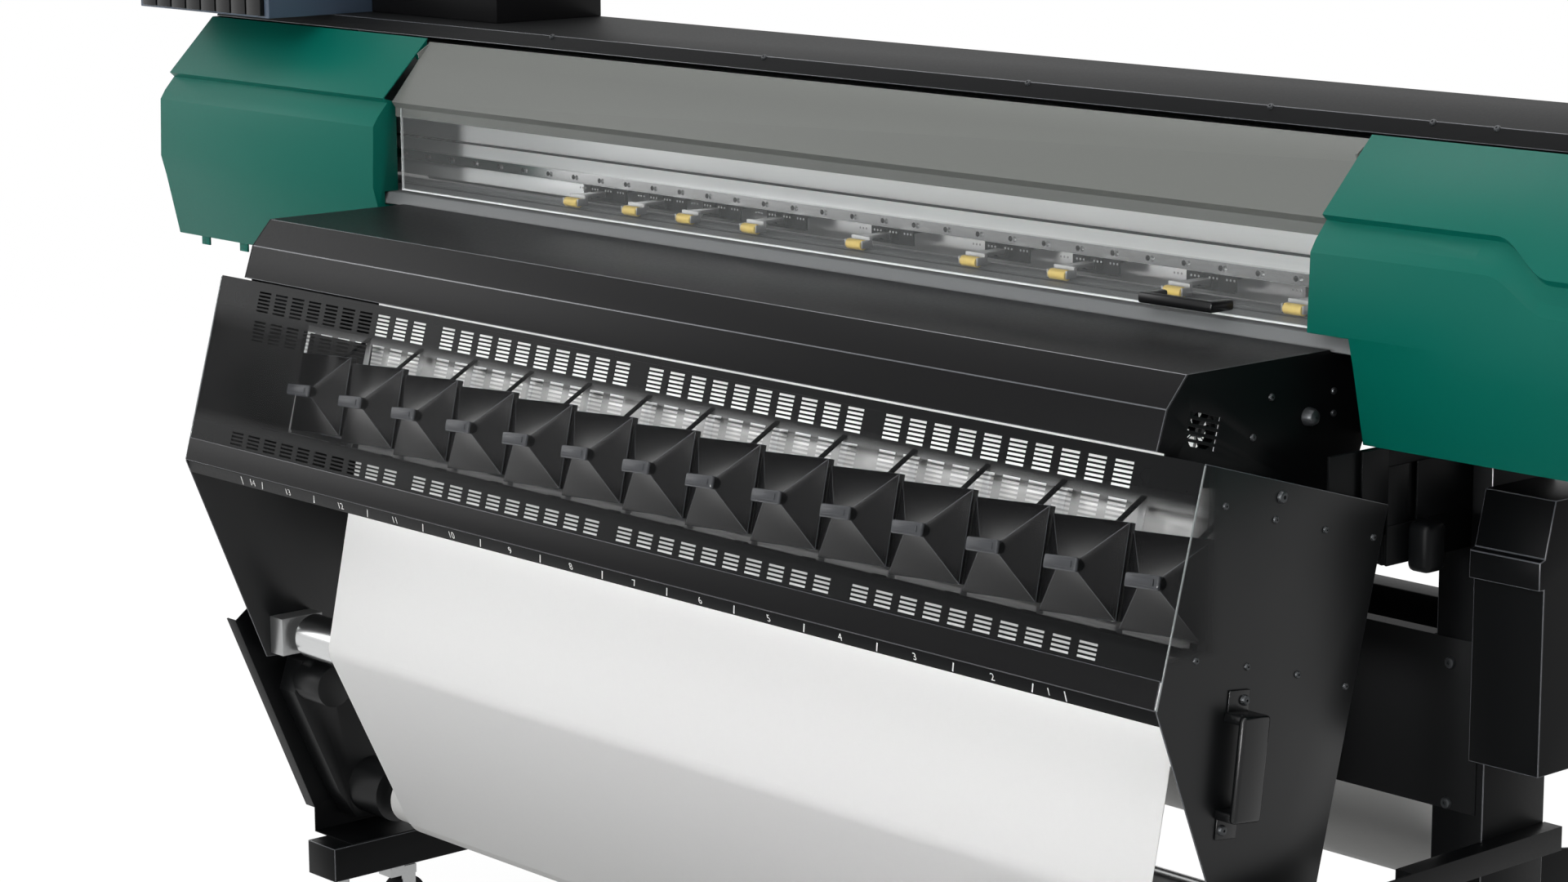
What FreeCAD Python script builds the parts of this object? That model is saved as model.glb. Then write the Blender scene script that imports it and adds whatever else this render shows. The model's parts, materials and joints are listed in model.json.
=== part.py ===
"""Wide-format roll printer with a front drying hood, a 14-zone hot-air unit and a powered take-up.

Frame: +Z up, +X to the machine's right seen from the front, -Y towards the operator.
The origin is on the floor, under the centre of the bounding box. Lengths are in millimetres.
"""
import FreeCAD, Part
import math
import os
import re
import Sketcher

Vector = FreeCAD.Vector
Rotation = FreeCAD.Rotation
Placement = FreeCAD.Placement

doc = FreeCAD.newDocument("roll_printer")
sheet = doc.addObject("Spreadsheet::Sheet", "Sizes")

# ------------------------------------------------------------------ driving dimensions
# Each row: alias, value, what it is.
SIZES = [
    ("web_half", 813, "half width of the web"),
    ("left_long", 709, "the left cover's outer end beyond the web's edge"),
    ("right_long", 755, "the right cover's outer end beyond the web's edge"),
    ("left_bay", 130, "the print bay beyond the web's left edge"),
    ("right_bay", 53, "the print bay beyond the web's right edge"),
    ("leg_out", 128, "centre of each leg beyond the web's edge"),
    ("hood_out", 72, "end of the drying hood beyond the web's edge"),
    ("unit_out", 140, "outside of the hot-air unit beyond the web's edge"),
    ("guide_out", 87, "end of the guide roller beyond the web's edge"),
    ("core_out", 49, "end of the paper core beyond the web's edge"),
    ("plate_out", 190, "inner face of the take-up side plate beyond the web's edge"),
    ("head_park", 349, "parked carriage centre beyond the print bay"),
    ("desk_out", 434, "left end of the control panel beyond the print bay"),
    ("tray_in", 316, "right side of the ink tray from the left cover's end"),
    ("ink_in", 638, "right side of the ink housing from the left cover's end"),
    ("sheet_wall", 2, "sheet steel of covers and boxes"),
    ("gap_fit", 0.3, "clearance between pieces that lie beside each other"),
    ("gap_shaft", 0.05, "radial running clearance of a shaft in its bore"),
    ("gap_cover", 3, "clearance round the hinged front cover"),
    # stand
    ("foot_wide", 70, "foot beam width"),
    ("foot_tall", 52, "foot beam height"),
    ("foot_low", 95, "underside of the foot beam above the floor"),
    ("foot_front", -270, "front end of the foot beam"),
    ("reach", 479.39, "furthest reach of the machine from the origin, front and back"),
    ("tube_wall", 3, "wall of the stand's tubes"),
    ("post_wide", 75, "post width along X"),
    ("post_deep", 118, "post depth along Y"),
    ("post_front", 60, "front face of the posts"),
    ("panel_low", 546, "lower edge of the panel between the legs"),
    ("panel_high", 755, "upper edge of the panel between the legs"),
    ("panel_flange", 25, "depth of the panel's folded edges"),
    ("pad_round", 25, "radius of a levelling pad"),
    ("pad_tall", 12, "height of a levelling pad"),
    ("stem_round", 8, "radius of a levelling stem"),
    ("pad_inset", 40, "levelling pad from the end of the foot beam"),
    ("caster_inset", 130, "caster swivel from the end of the foot beam"),
    ("wheel_round", 33, "caster wheel radius"),
    ("wheel_wide", 24, "caster wheel width"),
    ("wheel_lift", 3, "caster wheel above the floor, with the levelling pads down"),
    ("wheel_trail", 20, "caster wheel axle behind its swivel"),
    ("fork_wall", 3, "caster fork sheet"),
    ("axle_round", 4, "caster axle radius"),
    ("swivel_round", 20, "caster swivel disc radius"),
    # chassis
    ("frame_low", 1010, "underside of the main beam"),
    ("frame_high", 1107, "top of the main beam"),
    ("frame_front", -60, "front face of the main beam"),
    ("frame_back", 178, "rear face of the main beam"),
    ("end_plate", 4, "thickness of the end frames"),
    ("end_inset", 2.3, "end frames inside the covers' ends"),
    ("platen_top", 1127, "top face of the platen"),
    ("platen_front", -112, "front edge of the platen"),
    ("platen_back", 18, "rear edge of the platen"),
    ("platen_wall", 3, "platen plate thickness"),
    ("platen_turn", 8, "forward run of the platen's turned lip"),
    ("platen_drop", 16, "drop of the platen's turned lip"),
    ("grit_y", -30, "drive roller axis, front to back"),
    ("grit_round", 9, "drive roller radius"),
    ("grit_shaft", 5.5, "drive roller journal radius"),
    ("grit_slot", 1.5, "clearance of the platen slot round the drive roller"),
    # carriage guide
    ("beam_front", 35, "front face of the carriage beam"),
    ("beam_deep", 60, "carriage beam depth"),
    ("beam_low", 1150, "underside of the carriage beam"),
    ("beam_high", 1330, "top of the carriage beam"),
    ("beam_wall", 4, "carriage beam wall"),
    ("rail_tall", 15, "linear rail width"),
    ("rail_deep", 10, "linear rail height"),
    ("rail_lift", 2.5, "rail above the underside of the beam"),
    ("rail_pitch", 60, "pitch of the rail's screw holes"),
    ("rail_hole", 2.25, "rail screw hole radius"),
    ("rail_bore", 3.75, "rail counterbore radius"),
    ("rail_sink", 5, "rail counterbore depth"),
    ("rail_inset", 31, "rail end from the beam end"),
    ("pinch_round", 7, "pinch roller radius"),
    ("pinch_wide", 28, "pinch roller width"),
    ("pinch_pin", 2, "pinch roller pin radius"),
    ("arm_y", 28, "pinch arm pivot, front to back"),
    ("arm_z", 1140, "pinch arm pivot height"),
    ("arm_boss", 5, "pinch arm boss radius"),
    ("arm_pin", 2.5, "pinch arm pivot pin radius"),
    ("arm_wide", 16, "pinch arm width"),
    ("cheek", 2.5, "pinch arm fork cheek"),
    ("holder_wide", 80, "pinch holder width"),
    ("holder_lug", 4, "pinch holder sheet"),
    ("holder_drop", 11, "pinch holder below its pivot"),
    ("lug_gap", 1, "pinch arm between its holder's lugs"),
    ("head_wide", 210, "carriage width"),
    ("head_front", -92, "front face of the carriage"),
    ("head_nose", 44, "depth of the print head block"),
    ("head_low", 1131, "underside of the print heads"),
    ("head_step", 1180, "underside of the carriage over the pinch arms"),
    ("head_high", 1250, "top of the carriage"),
    ("belt_low", 1190, "lower run of the carriage belt"),
    ("belt_round", 14, "belt pulley radius"),
    ("belt_wall", 1.6, "belt thickness"),
    ("belt_wide", 10, "belt width"),
    # covers
    ("brow_y", -34, "top rear edge of the front covers, front to back"),
    ("brow_z", 1350, "top rear edge of the front covers"),
    ("lip_y", -120, "lower lip of the sloped upper covers, front to back"),
    ("lip_z", 1266, "lower lip of the sloped upper covers"),
    ("groove", 8, "depth of the groove under the lip"),
    ("belly_y", -139, "furthest front of the side covers"),
    ("belly_z", 1225, "top of the side covers' front face"),
    ("chin_y", -111, "lower edge of the side covers, front to back"),
    ("chin_z", 1008, "lower edge of the side covers"),
    ("chin_turn", 14, "folded lower edge of the side covers"),
    ("swoop_x", 224, "where the right cover's lip drops, from the print bay"),
    ("swoop", 38, "drop of the right cover's lip"),
    ("step_x", 60, "step of the right cover's lower inner edge"),
    ("step_z", 1133, "height of that step"),
    ("window_y", -100, "inner face of the front window"),
    ("window_wall", 3, "front window thickness"),
    ("window_low", 1130, "lower edge of the front window"),
    ("panel_lip", 1252, "lower edge of the hinged grey panel"),
    ("window_lap", 14, "flange of the grey panel behind the window"),
    ("hinge_y", -46, "front cover hinge axis, front to back"),
    ("hinge_z", 1326, "front cover hinge axis height"),
    ("hinge_pin", 3, "front cover hinge pin radius"),
    ("lug", 3, "thickness of the hinge lugs"),
    ("roof_y", -20, "front edge of the flat roof"),
    ("roof_z", 1370, "top of the flat roof"),
    ("roof_back", 250, "rear face of the roof cover"),
    ("roof_drop", 1200, "lower edge of the rear face"),
    ("grip_x", 605, "left end of the window grip"),
    ("grip_wide", 117, "window grip width"),
    ("grip_out", 40, "window grip reach"),
    ("grip_thick", 13, "window grip section"),
    ("grip_z", 1138, "underside of the window grip"),
    # control panel
    ("desk_wide", 190, "control panel width"),
    ("desk_deep", 76, "control panel depth along the slope"),
    ("desk_thick", 6, "control panel thickness"),
    ("desk_up", 61, "control panel from the lower lip, along the slope"),
    ("key_round", 8, "power button radius"),
    ("key_proud", 2.5, "power button above the panel"),
    ("key_travel", 2, "power button travel"),
    # ink supply
    ("tray_front", -140, "front edge of the ink tray"),
    ("tray_back", 160, "rear edge of the ink tray"),
    ("tray_tall", 150, "side wall of the ink tray"),
    ("tray_wall", 3, "ink tray floor and back"),
    ("tray_side", 13, "ink tray side wall"),
    ("pack_count", 8, "ink packs in the tray"),
    ("pack_tall", 138, "ink pack height"),
    ("pack_gap", 4, "clearance between ink packs"),
    ("pack_proud", 6, "ink pack face in front of the tray"),
    ("ink_front", 50, "front face of the ink housing"),
    ("ink_tall", 230, "ink housing height"),
    # dryer hood
    ("hood_top", 1114, "flat top of the drying hood"),
    ("hood_back", -126, "rear edge of the drying hood"),
    ("hood_edge", -363, "front edge of the flat top"),
    ("bevel_y", -395, "front of the bevel"),
    ("bevel_z", 1079, "bottom of the bevel"),
    ("hood_tip_y", -410, "lower front edge of the hood, front to back"),
    ("hood_tip_z", 1034, "lower front edge of the hood"),
    ("tip_step", 12, "step of the hood's ends behind the unit's front sheet"),
    ("vent_y", -338, "fan centre in the end plate, front to back"),
    ("vent_z", 1048, "fan centre in the end plate"),
    ("vent_tilt", 15.5, "slope of the vent slots, degrees"),
    ("vent_long", 52, "vent slot length"),
    ("vent_wide", 4.6, "vent slot width"),
    ("vent_pitch", 8.4, "vent slot pitch"),
    ("vent_count", 5, "vent slots"),
    ("rotor_round", 21, "fan rotor radius"),
    ("rotor_deep", 9, "fan rotor depth"),
    ("rotor_hub", 8, "fan hub radius"),
    ("rotor_pin", 2, "fan pin radius"),
    ("frame_square", 50, "fan frame side"),
    ("fan_gap", 2, "fan rotor inside its frame"),
    # hot-air unit
    ("unit_plate", 2, "side plate thickness"),
    ("unit_y", -478, "lower front edge of the unit, front to back"),
    ("unit_z", 766, "lower front edge of the unit"),
    ("unit_tilt", 15.5, "lean of the unit's front, degrees"),
    ("unit_tall", 274, "height of the unit's front along its slope"),
    ("side_back_y", -96, "top rear corner of the side plate"),
    ("side_back_z", 941, "top rear corner of the side plate"),
    ("side_foot_y", -225, "lower rear corner of the side plate"),
    ("side_foot_z", 445, "lower rear corner of the side plate"),
    ("side_tip_y", -350, "lower front corner of the side plate"),
    ("side_tip_z", 452, "lower front corner of the side plate"),
    ("rail_band", 35, "height of the front rail"),
    ("front_wall", 1.5, "front panel thickness"),
    ("slot_long", 29, "louvre slot length"),
    ("slot_high", 2.8, "louvre slot height"),
    ("slot_rise", 5.3, "louvre slot pitch, up the slope"),
    ("slot_pitch", 41, "louvre column pitch"),
    ("group_pitch", 434.6, "louvre group pitch"),
    ("upper_slots", 6, "louvre slots in an upper or a middle column"),
    ("lower_slots", 4, "louvre slots in a lower column"),
    ("slot_columns", 10, "louvre columns in a group"),
    ("slot_groups", 4, "louvre groups"),
    ("upper_z", 232, "lowest upper slot, up the slope"),
    ("middle_z", 189.6, "lowest middle slot, up the slope"),
    ("lower_z", 39, "lowest lower slot, up the slope"),
    ("zone_count", 14, "hot-air zones"),
    ("zone_pitch", 127, "hot-air zone pitch"),
    ("nozzle_wide", 120, "hot-air hood width"),
    ("nozzle_tall", 114, "hot-air hood height"),
    ("nozzle_skirt", 10, "straight rim of a hot-air hood"),
    ("nozzle_deep", 38, "hot-air hood depth from rim to boss"),
    ("nozzle_wall", 2, "hot-air hood wall"),
    ("nozzle_roll", 3.7, "roll of a hot-air hood in its plane, degrees"),
    ("nozzle_y", 130, "open rim of the hoods behind the front panel"),
    ("nozzle_z", 133, "hood centre, up the slope"),
    ("boss_wide", 50, "pill-shaped boss on a hood"),
    ("boss_round", 8, "radius of that boss"),
    ("boss_long", 13, "reach of that boss"),
    ("back_y", 166, "inner back plate behind the front panel"),
    ("back_low", 54, "lower edge of the inner back plate"),
    ("back_high", 227, "upper edge of the inner back plate"),
    ("back_bar", 11, "bar along the top of the inner back plate"),
    ("back_post", 11, "post between the windows of the inner back plate"),
    ("back_gap", 10, "height of the low windows of the inner back plate"),
    ("jet_wide", 96, "air opening behind each hood"),
    ("jet_tall", 84, "air opening behind each hood"),
    ("strap_wide", 9, "strap that carries a hood"),
    ("ledge_z", 64, "shelf under the hoods, up the slope"),
    ("ledge_deep", 40, "shelf under the hoods, depth"),
    ("ruler_long", 15, "ruler strip under the front rail"),
    ("ruler_rise", 0.9, "top of the ruler strip above the unit's corner, just under the rail"),
    ("handle_long", 132, "side handle length"),
    ("handle_out", 34, "side handle reach"),
    ("handle_thick", 11, "side handle section"),
    ("handle_y", -356, "side handle centre, front to back"),
    ("handle_z", 686, "side handle centre height"),
    # web and rolls
    ("web_wall", 0.8, "web thickness"),
    ("guide_y", -300, "guide roller axis, front to back"),
    ("guide_z", 485, "guide roller axis height"),
    ("guide_round", 33, "guide roller radius"),
    ("guide_shaft", 8, "guide roller journal radius"),
    ("block_wide", 32, "guide roller block along X"),
    ("block_front", -343, "front face of the guide roller block"),
    ("block_deep", 72, "guide roller block depth"),
    ("block_tall", 56, "guide roller block height"),
    ("web_lean", 12, "lean of the web above the guide roller, degrees"),
    ("web_top", 1010, "height where the web leaves the platen curve"),
    ("take_y", -158, "take-up axis, front to back"),
    ("take_z", 217, "take-up axis height"),
    ("take_round", 45, "take-up roll radius, with the web on it"),
    ("core_round", 38, "paper core radius, outside"),
    ("roll_shaft", 10, "roll shaft journal radius"),
    ("drive_wide", 40, "take-up drive casting along X"),
    ("motor_back", 106, "motor drum in front of the take-up axis"),
    ("motor_up", 183, "motor drum above the take-up axis"),
    ("motor_round", 31, "motor drum radius"),
    ("motor_long", 62, "motor drum length"),
    ("chuck_round", 44, "chuck drum radius"),
    ("chuck_long", 72, "chuck drum length"),
    ("supply_y", 330, "supply axis, front to back"),
    ("supply_z", 420, "supply axis height"),
    ("supply_round", 70, "supply roll radius"),
    ("supply_plate", 6, "supply bracket thickness"),
    # power box
    ("box_wide", 100, "power box width"),
    ("box_front", 30, "front face of the power box"),
    ("box_back", 230, "rear face of the power box"),
    ("box_low", 621, "underside of the power box"),
    ("box_band", 842, "lower edge of the band round the power box"),
    ("box_high", 944, "top of the power box"),
    # loading lever
    ("lever_y", 60, "loading lever pivot, front to back"),
    ("lever_z", 1180, "loading lever pivot height"),
    ("lever_long", 95, "loading lever length"),
    ("lever_pin", 6, "loading lever pin radius"),
    ("lever_wide", 16, "loading lever hub length"),
    ("bolt_round", 8, "hexagon bolt head, corner radius"),
    ("bolt_head", 6, "hexagon bolt head height"),
    ("screw_round", 4.5, "pan head screw radius"),
    ("screw_head", 3, "pan head screw height"),
    ("screw_step", 84, "pitch of the side plates' screws"),
    ("screw_high_y", -373, "first screw of the upper row, front to back"),
    ("screw_high_z", 979, "first screw of the upper row"),
    ("screw_low_y", -417, "first screw of the lower row, front to back"),
    ("screw_low_z", 814, "first screw of the lower row"),
    ("knob_y", -162, "knurled knob, front to back"),
    ("knob_z", 1042, "knurled knob height"),
    ("knob_round", 7.7, "knurled knob radius"),
    ("knob_long", 18, "knurled knob length"),
]
# Pinch roller places along the beam, measured to the right of the middle plane.
PINCH_PLACES = (-607, -474, -356, -219, -7, 209, 367, 561, 752)

sheet.set("A1", "size")
for row, (alias, number, note) in enumerate(SIZES, start=2):
    sheet.set("A%d" % row, note)
    sheet.set("B%d" % row, str(number))
    sheet.setAlias("B%d" % row, alias)
doc.recompute()

ALIASES = {alias for alias, number, note in SIZES}
# Places across the machine that follow from the web's width.
WIDTHS = {
    "end_left": "(-web_half - left_long)",
    "end_right": "(web_half + right_long)",
    "bay_left": "(-web_half - left_bay)",
    "bay_right": "(web_half + right_bay)",
    "leg_x": "(web_half + leg_out)",
    "hood_x": "(web_half + hood_out)",
    "unit_x": "(web_half + unit_out)",
    "guide_half": "(web_half + guide_out)",
    "core_half": "(web_half + core_out)",
    "take_plate": "(web_half + plate_out)",
    "head_x": "(web_half + right_bay + head_park)",
    "desk_x": "(web_half + right_bay + desk_out)",
    "tray_right": "(tray_in - web_half - left_long)",
    "ink_right": "(ink_in - web_half - left_long)",
}
parts = {}


def cell(text):
    """Turn words such as 'platen_top - 3' into an expression on the sheet."""
    text = re.sub(r"[a-z_]+", lambda word: WIDTHS.get(word.group(0), word.group(0)), str(text))
    return re.sub(r"[a-z_]+", lambda word: "Sizes." + word.group(0)
                  if word.group(0) in ALIASES else word.group(0), text)


def mm(text):
    """The present value of an expression on the sheet."""
    found = sheet.evalExpression(cell(text))
    return float(getattr(found, "Value", found))


def bind(thing, **bindings):
    """Bind properties to expressions; a double underscore stands for a dot."""
    for name, text in bindings.items():
        thing.setExpression(name.replace("__", "."), cell(text))
    return thing


def keep(label, thing):
    """Name the finished piece."""
    thing.Label = label
    parts[label] = thing
    return thing


# ------------------------------------------------------------------ shape helpers
def box(name, corner, lengths):
    """A block from its lowest corner and its three lengths."""
    block = doc.addObject("Part::Box", name)
    bind(block, Length=lengths[0], Width=lengths[1], Height=lengths[2])
    return bind(block, Placement__Base__x=corner[0], Placement__Base__y=corner[1],
                Placement__Base__z=corner[2])


TURNS = {"X": Rotation(Vector(0, 1, 0), 90), "Y": Rotation(Vector(1, 0, 0), -90), "Z": Rotation()}


def rod(name, axis, centre, radius, length):
    """A cylinder that starts at centre and runs along an axis."""
    pin = doc.addObject("Part::Cylinder", name)
    pin.Placement = Placement(Vector(), TURNS[axis])
    bind(pin, Radius=radius, Height=length)
    return bind(pin, Placement__Base__x=centre[0], Placement__Base__y=centre[1],
                Placement__Base__z=centre[2])


def fuse(name, pieces):
    """Join blocks that are one piece of metal."""
    joined = doc.addObject("Part::MultiFuse", name)
    joined.Shapes = pieces
    joined.Refine = True
    return joined


def cut(name, base, tools):
    """Take the tools away from the base."""
    tool = tools[0] if len(tools) == 1 else fuse(name + "_tools", tools)
    result = doc.addObject("Part::Cut", name)
    result.Base = base
    result.Tool = tool
    return result


PLANES = {"YZ": Rotation(Vector(1, 1, 1), 120), "XZ": Rotation(Vector(1, 0, 0), 90),
          "XY": Rotation()}


def draw(sketch, points, closed):
    """Draw straight runs through points, and bind each point's place to the sheet."""
    places = [Vector(mm(a), mm(b), 0) for a, b in points]
    runs = len(places) if closed else len(places) - 1
    for run in range(runs):
        sketch.addGeometry(Part.LineSegment(places[run], places[(run + 1) % len(places)]))
    for run in range(runs - 1):
        sketch.addConstraint(Sketcher.Constraint("Coincident", run, 2, run + 1, 1))
    if closed:
        sketch.addConstraint(Sketcher.Constraint("Coincident", runs - 1, 2, 0, 1))
    for index, texts in enumerate(points):
        line, end = (index, 1) if index < runs else (runs - 1, 2)
        for kind, text, number in zip(("DistanceX", "DistanceY"), texts, places[index]):
            rule = sketch.addConstraint(Sketcher.Constraint(kind, -1, 1, line, end, number))
            sketch.setExpression("Constraints[%d]" % rule, cell(text))
    return sketch


def slab(name, points, start, length):
    """A plate or block: a closed outline in the Y-Z plane, padded along X."""
    body = doc.addObject("PartDesign::Body", name)
    plane = [item for item in body.Origin.OriginFeatures if item.Role == "YZ_Plane"][0]
    sketch = body.newObject("Sketcher::SketchObject", name + "_outline")
    sketch.AttachmentSupport = [(plane, "")]
    sketch.MapMode = "FlatFace"
    draw(sketch, points, closed=True)
    bind(sketch, AttachmentOffset__Base__z=start)
    pad = body.newObject("PartDesign::Pad", name + "_pad")
    pad.Profile = sketch
    bind(pad, Length=length)
    return body


def folded(name, points, wall, start, length):
    """Bent sheet metal: an open line in the Y-Z plane, given a wall and run along X."""
    sketch = doc.addObject("Sketcher::SketchObject", name + "_line")
    sketch.Placement = Placement(Vector(), PLANES["YZ"])
    draw(sketch, points, closed=False)
    bind(sketch, Placement__Base__x=start)
    skin = doc.addObject("Part::Offset2D", name + "_skin")
    skin.Source = sketch
    skin.Mode = "Skin"
    skin.Join = "Intersection"
    skin.Fill = True
    bind(skin, Value=wall)
    bent = doc.addObject("Part::Extrusion", name)
    bent.Base = skin
    bent.DirMode = "Custom"
    bent.Dir = Vector(1, 0, 0)
    bent.Solid = True
    return bind(bent, LengthFwd=length)


def group(label, shapes):
    """Several equal pieces kept as separate solids of one node."""
    feature = doc.addObject("Part::Feature", label)
    feature.Shape = Part.makeCompound(shapes)
    return keep(label, feature)


def moved(shape, x=0.0, y=0.0, z=0.0):
    """A copy of a shape, shifted."""
    copy = shape.copy()
    copy.translate(Vector(x, y, z))
    return copy


def mirrored(shape):
    """A copy of a shape on the other side of the middle plane."""
    return shape.mirror(Vector(), Vector(1, 0, 0))


def tilt(thing):
    """Put a piece drawn in the hot-air unit's own frame into its leaning place."""
    thing.Placement = Placement(Vector(), Rotation(Vector(1, 0, 0), -mm("unit_tilt")))
    return bind(thing, Placement__Base__y="unit_y", Placement__Base__z="unit_z",
                Placement__Rotation__Angle="-unit_tilt")


# ------------------------------------------------------------------ stand
foot = box("foot_tube", ("leg_x - foot_wide / 2", "foot_front", "foot_low"),
           ("foot_wide", "reach - foot_front", "foot_tall"))
foot_hollow = box("foot_hollow", ("leg_x - foot_wide / 2 + tube_wall", "foot_front + tube_wall",
                                  "foot_low + tube_wall"),
                  ("foot_wide - 2 * tube_wall", "reach - foot_front",
                   "foot_tall - 2 * tube_wall"))
post = box("post_tube", ("leg_x - post_wide / 2", "post_front", "foot_low + foot_tall"),
           ("post_wide", "post_deep", "frame_low - foot_low - foot_tall"))
post_hollow = box("post_hollow", ("leg_x - post_wide / 2 + tube_wall", "post_front + tube_wall",
                                  "foot_low + foot_tall"),
                  ("post_wide - 2 * tube_wall", "post_deep - 2 * tube_wall",
                   "frame_low - foot_low - foot_tall"))
leg = fuse("leg", [cut("foot_beam", foot, [foot_hollow]), cut("post", post, [post_hollow])])
doc.recompute()
group("stand_legs", [leg.Shape, mirrored(leg.Shape)])

panel_sheet = box("panel_sheet", ("-leg_x - post_wide / 2 + 10", "post_front - sheet_wall",
                                  "panel_low"),
                  ("2 * leg_x + post_wide - 20", "sheet_wall", "panel_high - panel_low"))
panel_edges = [box("panel_edge", ("-leg_x + post_wide / 2 + gap_cover", "post_front - sheet_wall",
                                  height),
                   ("2 * leg_x - post_wide - 2 * gap_cover", "panel_flange", "sheet_wall"))
               for height in ("panel_low", "panel_high - sheet_wall")]
keep("stand_panel", fuse("stand_panel", [panel_sheet] + panel_edges))

pad = rod("level_pad", "Z", ("0", "0", "0"), "pad_round", "pad_tall")
stem = rod("level_stem", "Z", ("0", "0", "0"), "stem_round", "foot_low")
level = fuse("levelling_foot", [pad, stem])
doc.recompute()
group("levelling_feet", [moved(level.Shape, side * mm("leg_x"), place)
                         for side in (-1, 1)
                         for place in (mm("foot_front + pad_inset"), mm("reach - pad_inset"))])

# Casters: a swivelling fork and a wheel each, numbered front left, front right, rear left, rear right.
CASTERS = [("-leg_x", "foot_front + caster_inset"), ("leg_x", "foot_front + caster_inset"),
           ("-leg_x", "reach - caster_inset"), ("leg_x", "reach - caster_inset")]
for number, (place_x, place_y) in enumerate(CASTERS, start=1):
    axle_y = "%s + wheel_trail" % place_y
    fork_half = "wheel_wide / 2 + 1 + fork_wall"
    disc = rod("swivel_disc", "Z", (place_x, place_y, "foot_low - gap_fit - 8"), "swivel_round", "8")
    crown = box("fork_crown", ("%s - (%s)" % (place_x, fork_half), "%s - 14" % place_y,
                               "wheel_lift + 2 * wheel_round + 4"),
                ("2 * (%s)" % fork_half, "wheel_trail + 28",
                 "foot_low - gap_fit - 8 - wheel_lift - 2 * wheel_round - 4"))
    cheeks = [box("fork_cheek", (corner, "%s - 12" % axle_y, "wheel_lift + wheel_round - 9"),
                  ("fork_wall", "24", "wheel_round + 14"))
              for corner in ("%s - (%s)" % (place_x, fork_half),
                             "%s + wheel_wide / 2 + 1" % place_x)]
    axle = rod("fork_axle", "X", ("%s - (%s)" % (place_x, fork_half), axle_y,
                                  "wheel_lift + wheel_round"), "axle_round", "2 * (%s)" % fork_half)
    keep("caster_fork_%d" % number, fuse("caster_fork", [disc, crown, axle] + cheeks))
    tyre = rod("wheel_disc", "X", ("%s - wheel_wide / 2" % place_x, axle_y,
                                   "wheel_lift + wheel_round"), "wheel_round", "wheel_wide")
    bore = rod("wheel_bore", "X", ("%s - wheel_wide" % place_x, axle_y,
                                   "wheel_lift + wheel_round"), "axle_round + gap_shaft",
               "2 * wheel_wide")
    keep("caster_wheel_%d" % number, cut("caster_wheel", tyre, [bore]))

# ------------------------------------------------------------------ chassis
main_beam = box("main_beam", ("end_left + end_inset", "frame_front", "frame_low"),
                ("end_right - end_left - 2 * end_inset", "frame_back - frame_front",
                 "frame_high - frame_low"))
main_hollow = box("main_hollow", ("end_left", "frame_front + tube_wall", "frame_low + tube_wall"),
                  ("end_right - end_left", "frame_back - frame_front - 2 * tube_wall",
                   "frame_high - frame_low - 2 * tube_wall"))
END_OUTLINE = [("frame_front", "frame_low"), ("frame_back", "frame_low"),
               ("roof_back - 6", "roof_drop"), ("roof_back - 6", "roof_z - sheet_wall - gap_fit"),
               ("roof_y + 8", "roof_z - sheet_wall - gap_fit"), ("frame_front - 20", "belly_z"),
               ("frame_front", "platen_top")]
grit_z = "platen_top - grit_round + 0.2"
grit_bore = rod("grit_bore", "X", ("2 * end_left", "grit_y", grit_z), "grit_shaft + gap_shaft",
                "2 * (end_right - end_left)")
left_frame = slab("left_frame", END_OUTLINE, "end_left + end_inset", "end_plate")
right_frame = slab("right_frame", END_OUTLINE, "end_right - end_inset - end_plate", "end_plate")
lever_stub = rod("lever_stub", "X", ("end_left - lever_wide - 4", "lever_y", "lever_z"),
                 "lever_pin", "end_inset + lever_wide + 8")
frames = fuse("chassis_frames", [cut("beam_tube", main_beam, [main_hollow]), left_frame, right_frame,
                                 lever_stub])
keep("chassis", cut("chassis", frames, [grit_bore]))

platen_plate = folded("platen_plate", [("platen_back", "frame_high"), ("platen_back", "platen_top"),
                                       ("platen_front", "platen_top"),
                                       ("platen_front - platen_turn", "platen_top - platen_drop")],
                      "-platen_wall", "end_left + 90", "end_right - end_left - 180")
grit_window = box("grit_window", ("end_left + 115", "grit_y - grit_round - grit_slot",
                                  "frame_high"),
                  ("end_right - end_left - 230", "2 * (grit_round + grit_slot)", "60"))
platen_cut = cut("platen_slotted", platen_plate, [grit_window])
keep("platen", platen_cut)

grit_body = rod("grit_body", "X", ("end_left + 120", "grit_y", grit_z), "grit_round",
                "end_right - end_left - 240")
grit_ends = rod("grit_ends", "X", ("end_left + end_inset", "grit_y", grit_z), "grit_shaft",
                "end_right - end_left - 2 * end_inset")
keep("grit_roller", fuse("grit_roller", [grit_body, grit_ends]))

# ------------------------------------------------------------------ carriage guide
beam_start = "end_left + end_inset + end_plate"
beam_span = "end_right - end_left - 2 * end_inset - 2 * end_plate"
beam_block = box("beam_block", (beam_start, "beam_front", "beam_low"),
                 (beam_span, "beam_deep", "beam_high - beam_low"))
beam_hollow = box("beam_hollow", (beam_start, "beam_front + beam_wall", "beam_low + beam_wall"),
                  (beam_span, "beam_deep - 2 * beam_wall", "beam_high - beam_low - 2 * beam_wall"))
keep("carriage_beam", cut("carriage_beam", beam_block, [beam_hollow]))

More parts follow.
